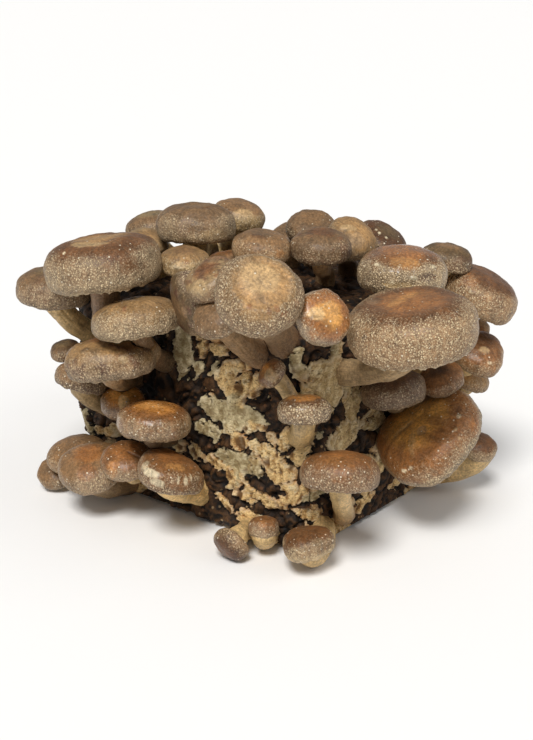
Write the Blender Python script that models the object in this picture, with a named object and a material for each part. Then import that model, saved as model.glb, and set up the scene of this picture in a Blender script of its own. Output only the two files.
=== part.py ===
"""Shiitake fruiting block: a squat block of sawdust grown through with mycelium, and the mushrooms that stand out from it on every side.

Row frame: metres, +Z up. The origin is the middle of the block's flat underside. The block's sides face +X, -X, +Y and -Y.
Lengths below are in millimetres and angles in degrees; MM turns them into metres where the meshes are made.
"""

import math
from collections import namedtuple

import bmesh
import bpy
from mathutils import Vector
from mathutils.bvhtree import BVHTree

for old in list(bpy.data.objects):
    bpy.data.objects.remove(old, do_unlink=True)

MM = 0.001
GAP = 0.5  # clear space left between a mushroom and what it was cut to fit, before faceting takes some of it

# ---- the block -----------------------------------------------------------------------------------------------
HALF_X, HALF_Y, HEIGHT = 82.0, 75.0, 114.0
CORNER = 17.0  # radius of the upright corners
AROUND = 34  # facets round the block
# height above the base, and how far the side is drawn in there
PROFILE = [(0.0, 4.5), (2.5, 1.6), (9.0, 0.2), (22.0, 0.0), (40.0, 0.4), (62.0, 1.0),
           (84.0, 0.5), (98.0, 1.6), (106.0, 5.5), (111.0, 12.0), (113.5, 22.0), (114.0, 38.0), (114.0, 56.0)]


def outline(t, inset):
    """Point at share t round a rounded rectangle, from the middle of the +X side, with its outward direction."""
    hx, hy, rc = HALF_X - inset, HALF_Y - inset, max(CORNER - inset * 0.6, 6.0)
    sx, sy, q = hx - rc, hy - rc, math.pi / 2 * rc
    runs = [("line", (hx, 0), (hx, sy), sy, 0), ("arc", (sx, sy), 0, q), ("line", (sx, hy), (-sx, hy), 2 * sx, 90),
            ("arc", (-sx, sy), 90, q), ("line", (-hx, sy), (-hx, -sy), 2 * sy, 180), ("arc", (-sx, -sy), 180, q),
            ("line", (-sx, -hy), (sx, -hy), 2 * sx, 270), ("arc", (sx, -sy), 270, q), ("line", (hx, -sy), (hx, 0), sy, 0)]
    d = (t % 1.0) * sum(r[3] for r in runs)
    for r in runs:
        if d <= r[3] or r is runs[-1]:
            u = min(d / r[3], 1.0)
            if r[0] == "line":
                a = math.radians(r[4])
                return r[1][0] + (r[2][0] - r[1][0]) * u, r[1][1] + (r[2][1] - r[1][1]) * u, math.cos(a), math.sin(a)
            a = math.radians(r[2] + 90 * u)
            return r[1][0] + rc * math.cos(a), r[1][1] + rc * math.sin(a), math.cos(a), math.sin(a)
        d -= r[3]


def lumps(x, y, z):
    """Slow swells of the block's skin, in mm outward."""
    a = math.sin(x * 0.058 + 1.3 * math.sin(y * 0.041 + 0.6) + 0.4)
    b = math.sin(y * 0.063 + 1.2 * math.sin(z * 0.052 + 2.0) + 1.9)
    c = math.sin(z * 0.081 + 1.1 * math.sin(x * 0.047 + 4.0) + 3.1)
    d = math.sin(x * 0.128 + 0.9 * math.sin(z * 0.10)) * math.sin(y * 0.117 + 1.4) + math.sin(z * 0.135 + y * 0.07)
    return 0.9 * (a + b + c) + 0.48 * d


def block_rings(grow):
    """The block's rings of points, bottom to top, each moved outward by its lumps and by grow."""
    rings = []
    for k, (z, inset) in enumerate(PROFILE):
        ring = []
        z_before, in_before = PROFILE[max(k - 1, 0)]
        z_after, in_after = PROFILE[min(k + 1, len(PROFILE) - 1)]
        rise, draw = z_after - z_before, in_after - in_before
        size = math.hypot(rise, draw)
        out, up = rise / size, draw / size
        for i in range(AROUND):
            x, y, nx, ny = outline(i / AROUND, inset)
            push = grow + (lumps(x, y, z) if k > 0 else 0.0)
            if k == 0:
                ring.append((x + nx * (lumps(x, y, 0) * 0.7 + grow), y + ny * (lumps(x, y, 0) * 0.7 + grow), -grow))
            else:
                ring.append((x + nx * out * push, y + ny * out * push, z + up * push))
        rings.append(ring)
    return rings


def add_block(name, grow=0.0):
    """The block as one object; grown copies serve as cutters."""
    bm = bmesh.new()
    rings = [[bm.verts.new(Vector(p) * MM) for p in ring] for ring in block_rings(grow)]
    for low, high in zip(rings, rings[1:]):
        for i in range(AROUND):
            j = (i + 1) % AROUND
            bm.faces.new((low[i], low[j], high[j], high[i]))
    bm.faces.new(list(reversed(rings[0])))
    top = bm.verts.new(Vector((0, 0, HEIGHT + grow + lumps(0, 0, HEIGHT))) * MM)
    for i in range(AROUND):
        bm.faces.new((rings[-1][i], rings[-1][(i + 1) % AROUND], top))
    return finish_mesh(name, bm, SUBSTRATE, Vector((0, 0, 0)))


# ---- the mushrooms ---------------------------------------------------------------------------------------------
# name; cap: middle of its widest circle, lean from upright and the compass direction it leans to (degrees from +X
# towards +Y), radius, thickness as a share of the radius; foot: where the stem meets the block, stem radius; bend: how
# far the stem keeps straight below the cap and above the block, as shares of its length; facets round; waves of the
# rim as (count, depth as a share of the radius, direction)
Mushroom = namedtuple("Mushroom", "name cap lean heading radius thick foot stem below_cap above_foot facets waves")
MUSHROOMS = [
    # upper left and left side
    Mushroom("upper_left_broad", (-24, -102, 137), 8, -175, 29.3, 0.42, (-44, -75, 96), 7.5, 0.38, 0.36, 12, ((2, 0.02, 30),)),
    Mushroom("far_left", (-63, -100, 118), 4, -6, 19.4, 0.42, (-61, -75, 88), 6.5, 0.28, 0.12, 10, ((3, 0.03, 40),)),
    Mushroom("left_shelf_high", (0, -104, 114), 10, 174, 21.2, 0.40, (-9, -75, 83), 5.0, 0.22, 0.15, 10, ((2, 0.03, 0), (3, 0.02, 90))),
    Mushroom("left_shelf_mid", (-15, -108, 91), 9, 160, 22.3, 0.42, (-32, -75, 70), 6.0, 0.25, 0.24, 10, ((3, 0.03, 10),)),
    Mushroom("left_bud", (-67, -91, 81), 16, -84, 8.0, 0.50, (-64, -75, 76), 3.0, 0.38, 0.36, 8, ()),
    Mushroom("left_tucked", (-48, -97, 71), 16, 70, 14.9, 0.42, (-52, -75, 50), 5.5, 0.24, 0.12, 8, ()),
    Mushroom("left_glossy_small", (-24, -92, 62), 18, -51, 11.6, 0.45, (-31, -75, 48), 5.0, 0.38, 0.36, 8, ()),
    Mushroom("left_glossy_front", (6, -100, 61), 6, 95, 18.4, 0.42, (-7, -75, 44), 6.0, 0.30, 0.31, 10, ((2, 0.02, 0),)),
    # foot of the left side
    Mushroom("foot_left_outer", (-62, -91, 22), 9, -96, 16.4, 0.42, (-51, -75, 22), 6.0, 0.32, 0.38, 8, ()),
    Mushroom("foot_left_rear", (-75, -95, 10), 32, -74, 10.6, 0.45, (-58, -75, 10), 4.5, 0.38, 0.36, 8, ()),
    Mushroom("foot_left_thick", (-35, -106, 27), 17, -77, 17.5, 0.42, (-42, -75, 8), 8.0, 0.34, 0.26, 10, ((3, 0.03, 60),)),
    Mushroom("foot_left_inner", (-12, -103, 36), 19, -57, 13.2, 0.42, (-23, -75, 19), 5.0, 0.36, 0.29, 8, ()),
    Mushroom("foot_left_kidney", (17, -102, 37), 16, 51, 17.0, 0.45, (13, -75, 17), 7.0, 0.24, 0.12, 10, ((2, 0.04, 20), (3, 0.07, -100))),
    # top, left to right
    Mushroom("top_left_rear", (-53, -37, 141), 13, -137, 14.6, 0.42, (-54, -21, 114), 5.0, 0.38, 0.36, 8, ()),
    Mushroom("top_left_small", (-37, -57, 138), 20, -17, 11.2, 0.42, (-46, -39, 114), 5.0, 0.38, 0.36, 8, ()),
    Mushroom("top_left_crown", (-13, -46, 149), 3, 119, 20.1, 0.45, (-51, 6, 114), 6.0, 0.38, 0.36, 10, ((2, 0.03, 0),)),
    Mushroom("top_rear_crown", (-13, -11, 148), 14, 7, 14.0, 0.45, (-53, 26, 114), 5.5, 0.38, 0.36, 8, ()),
    Mushroom("top_left_ochre", (3, -72, 137), 8, -42, 12.5, 0.45, (-16, -46, 114), 5.0, 0.38, 0.36, 8, ()),
    Mushroom("top_reddish", (13, -51, 133), 10, -153, 12.2, 0.45, (5, -30, 114), 5.0, 0.38, 0.36, 8, ()),
    Mushroom("top_centre", (32, -47, 144), 6, 0, 14.8, 0.45, (9, -15, 114), 5.5, 0.45, 0.27, 8, ()),
    Mushroom("top_dome", (20, 10, 142), 23, -54, 13.4, 0.45, (0, 40, 114), 5.0, 0.49, 0.21, 8, ()),
    Mushroom("top_dome_left", (0, 17, 133), 28, -78, 10.7, 0.45, (-5, 25, 114), 4.5, 0.38, 0.36, 8, ()),
    Mushroom("top_golden_stem", (54, -27, 144), 9, -40, 14.9, 0.45, (30, 10, 114), 4.5, 0.38, 0.36, 8, ((2, 0.03, 0),)),
    Mushroom("top_pale", (53, 1, 143), 40, -5, 13.8, 0.42, (28, 35, 114), 5.0, 0.38, 0.36, 8, ((2, 0.05, 0),)),
    Mushroom("top_dark_rear", (53, 28, 137), 30, 6, 14.3, 0.42, (44, 46, 114), 5.0, 0.38, 0.36, 8, ()),
    Mushroom("right_rear_high", (95, 26, 134), 8, 37, 13.5, 0.45, (67, 50, 114), 5.0, 0.25, 0.52, 8, ()),
    # shoulder over the front corner
    Mushroom("centre_broad", (91, -121, 146), 41, -38, 19.2, 0.42, (65, -72, 111), 7.0, 0.37, 0.32, 10, ((3, 0.02, 0),)),
    Mushroom("centre_glossy", (108, -98, 134), 62, -19, 12.8, 0.45, (78, -52, 112), 6.0, 0.38, 0.36, 8, ()),
    Mushroom("shoulder_leaning", (47, -101, 141), 28, -113, 13.8, 0.42, (17, -53, 114), 5.5, 0.26, 0.31, 8, ((2, 0.05, 0),)),
    Mushroom("shoulder_sideways", (24, -91, 124), 99, -119, 15.8, 0.40, (24, -75, 107), 5.0, 0.37, 0.36, 8, ()),
    Mushroom("shoulder_grey", (55, -106, 127), 38, -92, 12.6, 0.42, (52, -75, 100), 7.0, 0.38, 0.36, 8, ()),
    # right side
    Mushroom("right_broadest", (127, -55, 122), 7, -132, 30.4, 0.43, (82, -41, 88), 8.5, 0.28, 0.21, 12, ((2, 0.02, 0),)),
    Mushroom("right_glossy_torn", (94, -14, 135), 2, 45, 21.8, 0.45, (71, 18, 114), 7.0, 0.38, 0.36, 10, ((3, 0.03, 0),)),
    Mushroom("far_right", (108, 39, 115), 27, 30, 21.2, 0.45, (82, 63, 101), 7.0, 0.38, 0.36, 10, ((2, 0.04, 0),)),
    Mushroom("right_bud", (96, 62, 88), 73, -61, 5.7, 0.60, (82, 64, 76), 3.0, 0.38, 0.36, 8, ()),
    Mushroom("right_outer_mid", (112, 33, 85), 29, -25, 14.1, 0.45, (82, 38, 72), 6.0, 0.36, 0.30, 8, ((3, 0.06, 30),)),
    Mushroom("right_outer_low", (98, 50, 63), 17, 47, 11.6, 0.42, (82, 50, 52), 4.5, 0.38, 0.36, 8, ()),
    Mushroom("right_shaded", (99, -26, 78), 10, -157, 16.2, 0.45, (82, -5, 67), 6.0, 0.28, 0.24, 8, ()),
    Mushroom("right_shaded_small", (111, -1, 80), 29, -95, 11.3, 0.45, (82, 21, 71), 5.0, 0.24, 0.20, 8, ()),
    Mushroom("right_heart", (111, -11, 52), 38, -118, 28.5, 0.38, (82, 8, 30), 8.0, 0.38, 0.36, 12, ((2, 0.02, 0), (3, 0.06, 200))),
    Mushroom("right_stout_stem", (108, 46, 27), 14, -18, 10.3, 0.50, (82, 34, 12), 8.5, 0.38, 0.36, 8, ()),
    # front corner and its foot
    Mushroom("front_bent", (74, -91, 99), 51, -118, 7.2, 0.50, (75, -75, 79), 4.0, 0.38, 0.36, 8, ()),
    Mushroom("front_ringed", (93, -91, 85), 8, 132, 12.2, 0.48, (77, -74, 62), 5.5, 0.30, 0.20, 8, ()),
    Mushroom("front_speckled", (104, -77, 52), 13, 118, 18.3, 0.45, (82, -41, 11), 5.5, 0.14, 0.06, 10, ((2, 0.03, 0),)),
    Mushroom("foot_front_sideways", (56, -100, 9), 121, -96, 9.3, 0.50, (47, -74, 6), 5.0, 0.37, 0.37, 8, ()),
    Mushroom("foot_front_pair", (66, -87, 16), 10, 129, 7.6, 0.60, (59, -74, 6), 6.0, 0.37, 0.29, 8, ()),
    Mushroom("foot_front_lobed", (92, -86, 15), 11, -161, 12.5, 0.50, (82, -59, 9), 6.0, 0.36, 0.34, 8, ((3, 0.08, 0),)),
    # the two sides away from the front
    Mushroom("back_high", (-50, 104, 100), 15, 112, 25.5, 0.42, (-40, 75, 88), 6.5, 0.38, 0.36, 8, ((2, 0.04, 30), (3, 0.02, 200))),
    Mushroom("back_high_inner", (-2, 106, 95), 19, 70, 21.0, 0.42, (-5, 75, 84), 6.0, 0.38, 0.36, 8, ((3, 0.03, 80),)),
    Mushroom("back_right_small", (31, 95, 82), 24, 48, 14.5, 0.45, (28, 75, 70), 5.0, 0.38, 0.36, 8, ((2, 0.04, 0),)),
    Mushroom("back_low", (-55, 100, 57), 22, 118, 18.5, 0.44, (-48, 75, 46), 6.0, 0.38, 0.36, 8, ((2, 0.05, 60),)),
    Mushroom("back_low_broad", (6, 106, 53), 16, 84, 25.0, 0.40, (6, 75, 42), 7.0, 0.38, 0.36, 8, ((2, 0.03, 10), (3, 0.03, 250))),
    Mushroom("rear_left_corner", (-104, 60, 97), 20, 150, 18.5, 0.44, (-82, 56, 84), 6.0, 0.38, 0.36, 8, ((3, 0.03, 120),)),
    Mushroom("rear_left_high", (-108, 14, 92), 14, 186, 24.0, 0.42, (-82, 14, 78), 6.5, 0.38, 0.36, 8, ((2, 0.03, 100),)),
    Mushroom("rear_left_low", (-108, 45, 52), 24, 166, 21.0, 0.42, (-82, 40, 40), 7.0, 0.38, 0.36, 8, ((2, 0.04, 70), (3, 0.03, 0))),
    Mushroom("rear_left_small", (-98, 4, 46), 26, 196, 12.0, 0.46, (-82, 4, 36), 4.5, 0.38, 0.36, 8, ()),
    Mushroom("back_foot_bud", (-24, 91, 28), 30, 110, 11.0, 0.52, (-20, 75, 20), 4.5, 0.38, 0.36, 8, ()),
]

# the cap's outline from the crown to the under-rim: share of the radius, share of the height above or depth below the
# widest circle
CAP_OUTLINE = [(0.52, 0.95), (0.88, 0.60), (1.0, -0.15), (0.88, -1.0)]
ROOT = 6.0  # how far a stem is carried on into the block before it is trimmed to the block's skin


def seat(m):
    """Where the stem meets the block: the skin's nearest point to the given foot, and the skin's outward direction."""
    point, out, _, _ = block_skin.find_nearest(Vector(m.foot) * MM)
    return point / MM, out


def cap_axis(m):
    lean, head = math.radians(m.lean), math.radians(m.heading)
    return Vector((math.sin(lean) * math.cos(head), math.sin(lean) * math.sin(head), math.cos(lean)))


def across(axis):
    """Two directions square to an axis and to each other."""
    e1 = Vector((0, 0, 1)).cross(axis)
    e1 = e1.normalized() if e1.length > 1e-3 else Vector((1, 0, 0))
    return e1, axis.cross(e1)


def add_mushroom(name, m, grow=0.0):
    """Cap and stem as one closed skin: rings from the crown down under the rim, in to the stem and down to the foot."""
    n, c = cap_axis(m), Vector(m.cap)
    foot, out = seat(m)
    e1, e2 = across(n)
    body = m.radius * m.thick
    radius, high, deep = m.radius + grow, 1.25 * body + grow, 0.75 * body + grow
    rim = lambda a: 1 + sum(depth * math.cos(count * (a - math.radians(to))) for count, depth, to in m.waves)
    turns = [2 * math.pi * i / m.facets for i in range(m.facets)]
    bm = bmesh.new()
    crown = bm.verts.new((c + n * high - foot) * MM)
    rings = []
    for share, level in CAP_OUTLINE:
        lift = level * (high if level > 0 else deep)
        rings.append([c + n * lift + (e1 * math.cos(a) + e2 * math.sin(a)) * radius * share * rim(a) for a in turns])
    p0 = c - n * 0.45 * 0.75 * body
    length = (p0 - foot).length
    p1, p2 = p0 - n * length * m.below_cap, foot + out * length * m.above_foot
    rings.append([p0 - n * grow + (e1 * math.cos(a) + e2 * math.sin(a)) * (m.stem * 1.15 + grow) for a in turns])
    side = e1
    for s in (0.5, 1.0):
        r = 1 - s
        p = r**3 * p0 + 3 * r * r * s * p1 + 3 * r * s * s * p2 + s**3 * foot
        run = (3 * r * r * (p1 - p0) + 6 * r * s * (p2 - p1) + 3 * s * s * (foot - p2)).normalized()
        side = (side - run * side.dot(run)).normalized()
        other = side.cross(run)
        if s == 1.0:
            p = p + run * ROOT
        wide = m.stem * (0.95 if s < 1 else 1.2) + grow
        rings.append([p + (side * math.cos(a) + other * math.sin(a)) * wide for a in turns])
    rings = [[bm.verts.new((p - foot) * MM) for p in ring] for ring in rings]
    k = m.facets
    for i in range(k):
        bm.faces.new((crown, rings[0][i], rings[0][(i + 1) % k]))
    for a, b in zip(rings, rings[1:]):
        for i in range(k):
            bm.faces.new((a[i], b[i], b[(i + 1) % k], a[(i + 1) % k]))
    bm.faces.new(list(reversed(rings[-1])))
    return finish_mesh(name, bm, flesh(name, m), foot * MM)


# ---- materials and objects -------------------------------------------------------------------------------------
def material(name, colour, roughness):
    m = bpy.data.materials.new(name)
    m.use_nodes = True
    shader = m.node_tree.nodes["Principled BSDF"]
    shader.inputs["Base Color"].default_value = (*colour, 1.0)
    shader.inputs["Roughness"].default_value = roughness
    shader.inputs["Metallic"].default_value = 0.0
    return m


SUBSTRATE = material("substrate_skin", (0.20, 0.14, 0.09), 0.75)
BROWN, OCHRE = (0.30, 0.18, 0.10), (0.45, 0.23, 0.08)


def flesh(name, m):
    """Each mushroom has a brown of its own, more orange on the glossy ones."""
    base = OCHRE if "glossy" in name or "golden" in name or "ochre" in name else BROWN
    shade = 0.85 + 0.3 * ((m.cap[0] * 7 + m.cap[1] * 13) % 10) / 10
    return material("flesh_" + name, tuple(c * shade for c in base), 0.4 if base is OCHRE else 0.6)


def finish_mesh(name, bm, mat, place):
    bmesh.ops.triangulate(bm, faces=bm.faces[:])
    bmesh.ops.recalc_face_normals(bm, faces=bm.faces[:])
    mesh = bpy.data.meshes.new(name)
    bm.to_mesh(mesh)
    bm.free()
    mesh.shade_smooth()
    mesh.materials.append(mat)
    ob = bpy.data.objects.new(name, mesh)
    ob.location = place
    bpy.context.scene.collection.objects.link(ob)
    return ob


def as_cutter(ob):
    ob.hide_render = True
    ob.display_type = "WIRE"
    return ob


def trim(ob, cutter):
    cut = ob.modifiers.new("trim", "BOOLEAN")
    cut.operation = "DIFFERENCE"
    cut.solver = "EXACT"
    cut.object = cutter


def surface(ob):
    mesh = ob.data
    place = ob.location
    return BVHTree.FromPolygons([v.co + place for v in mesh.vertices], [tuple(p.vertices) for p in mesh.polygons])


# ---- the model -------------------------------------------------------------------------------------------------
block_skin = surface(add_block("substrate_block"))
block_cutter = as_cutter(add_block("cutter_block", GAP))
standing = []  # grown copies of the mushrooms made so far, which the later ones make room for
for m in MUSHROOMS:
    ob = add_mushroom("mushroom_" + m.name, m)
    trim(ob, block_cutter)
    mine = surface(ob)
    for cutter, skin in standing:
        if mine.overlap(skin):
            trim(ob, cutter)
    cutter = as_cutter(add_mushroom("cutter_" + m.name, m, GAP))
    standing.append((cutter, surface(cutter)))
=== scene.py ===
import math

import bpy
import numpy as np
from mathutils import Matrix, Vector
from mathutils.bvhtree import BVHTree


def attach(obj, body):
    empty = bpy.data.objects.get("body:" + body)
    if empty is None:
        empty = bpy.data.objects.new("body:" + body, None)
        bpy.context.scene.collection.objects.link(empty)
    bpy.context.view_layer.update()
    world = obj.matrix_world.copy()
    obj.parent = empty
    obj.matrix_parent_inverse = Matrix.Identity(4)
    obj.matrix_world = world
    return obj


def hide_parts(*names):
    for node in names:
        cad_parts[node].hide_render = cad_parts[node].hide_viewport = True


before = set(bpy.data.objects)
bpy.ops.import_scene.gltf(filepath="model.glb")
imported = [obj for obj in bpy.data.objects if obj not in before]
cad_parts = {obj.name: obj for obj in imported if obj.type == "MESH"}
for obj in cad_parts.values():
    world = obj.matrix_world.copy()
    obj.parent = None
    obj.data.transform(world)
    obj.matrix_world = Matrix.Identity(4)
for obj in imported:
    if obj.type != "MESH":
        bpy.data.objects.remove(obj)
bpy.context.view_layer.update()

MM = 0.001

# ---- camera, floor and light -----------------------------------------------------------------------------------
AZIMUTH, ELEVATION, DISTANCE = 39.0, 19.0, 0.720
AIM = Vector((-0.5, -2.8, 61.0)) * MM


def add_camera():
    a, e = math.radians(AZIMUTH), math.radians(ELEVATION)
    back = Vector((math.sin(a) * math.cos(e), -math.cos(a) * math.cos(e), math.sin(e)))
    data = bpy.data.cameras.new("camera")
    data.sensor_width = 36.0
    data.lens = 1290.0 / 740.0 * 36.0
    data.clip_start = 0.01
    data.clip_end = 50.0
    ob = bpy.data.objects.new("camera", data)
    ob.matrix_world = Matrix.Translation(AIM + back * DISTANCE) @ back.to_track_quat("Z", "Y").to_matrix().to_4x4()
    bpy.context.scene.collection.objects.link(ob)
    bpy.context.scene.camera = ob


def add_sun(name, azimuth, elevation, strength, angle, colour=(1, 1, 1)):
    """A wide, soft light from far off; azimuth counts as the camera's does."""
    data = bpy.data.lights.new(name, "SUN")
    data.energy = strength
    data.angle = math.radians(angle)
    data.color = colour
    ob = bpy.data.objects.new(name, data)
    a, e = math.radians(azimuth), math.radians(elevation)
    back = Vector((math.sin(a) * math.cos(e), -math.cos(a) * math.cos(e), math.sin(e)))
    ob.rotation_euler = back.to_track_quat("Z", "Y").to_euler()
    ob.location = back * 2
    bpy.context.scene.collection.objects.link(ob)


def add_stage():
    mesh = bpy.data.meshes.new("floor")
    s = 6.0
    mesh.from_pydata([(-s, -s, 0), (s, -s, 0), (s, s, 0), (-s, s, 0)], [], [(0, 1, 2, 3)])
    floor = bpy.data.objects.new("floor", mesh)
    bpy.context.scene.collection.objects.link(floor)
    m = bpy.data.materials.new("floor_pale")
    m.use_nodes = True
    s = m.node_tree.nodes["Principled BSDF"]
    s.inputs["Base Color"].default_value = (0.86, 0.86, 0.86, 1)
    s.inputs["Roughness"].default_value = 0.9
    mesh.materials.append(m)
    world = bpy.data.worlds.new("studio")
    world.use_nodes = True
    sky = world.node_tree.nodes["Background"]
    sky.inputs["Color"].default_value = (1.0, 1.0, 1.0, 1)
    sky.inputs["Strength"].default_value = 0.33
    bpy.context.scene.world = world
    add_sun("key", AZIMUTH - 14, 52, 3.15, 20, (1.0, 0.98, 0.95))
    add_sun("fill", AZIMUTH + 70, 40, 0.45, 40, (0.95, 0.98, 1.0))


# ---- smooth noise ----------------------------------------------------------------------------------------------
_rng = np.random.RandomState(7)
_perm = np.concatenate([_rng.permutation(256)] * 3)
_grad = _rng.normal(size=(256, 3))
_grad /= np.linalg.norm(_grad, axis=1)[:, None]


def noise(p, scale, seed=0):
    """Gradient noise from about -1 to 1 at points p; scale is the size of its features in p's units."""
    q = np.asarray(p, float) / scale + np.array([17.3, 5.1, 9.7]) * (seed + 1)
    i = np.floor(q).astype(int)
    f = q - i
    w = f * f * f * (f * (f * 6 - 15) + 10)
    i &= 255
    out = np.zeros(len(q))
    for dx in (0, 1):
        for dy in (0, 1):
            for dz in (0, 1):
                h = _perm[_perm[_perm[(i[:, 0] + dx) & 255] + ((i[:, 1] + dy) & 255)] + ((i[:, 2] + dz) & 255)] & 255
                g = _grad[h]
                d = g[:, 0] * (f[:, 0] - dx) + g[:, 1] * (f[:, 1] - dy) + g[:, 2] * (f[:, 2] - dz)
                wx = w[:, 0] if dx else 1 - w[:, 0]
                wy = w[:, 1] if dy else 1 - w[:, 1]
                wz = w[:, 2] if dz else 1 - w[:, 2]
                out += d * wx * wy * wz
    return out * 1.6


def octaves(p, scale, count=3, seed=0, fall=0.5):
    out, size, total = 0.0, 1.0, 0.0
    for k in range(count):
        out = out + noise(p, scale / 2**k, seed + 11 * k) * size
        total += size
        size *= fall
    return out / total


def step(lo, hi, x):
    t = np.clip((x - lo) / (hi - lo), 0, 1)
    return t * t * (3 - 2 * t)


def linear(*rgb):
    return np.array([((c / 255 + 0.055) / 1.055) ** 2.4 if c > 10 else c / 255 / 12.92 for c in rgb])


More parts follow.
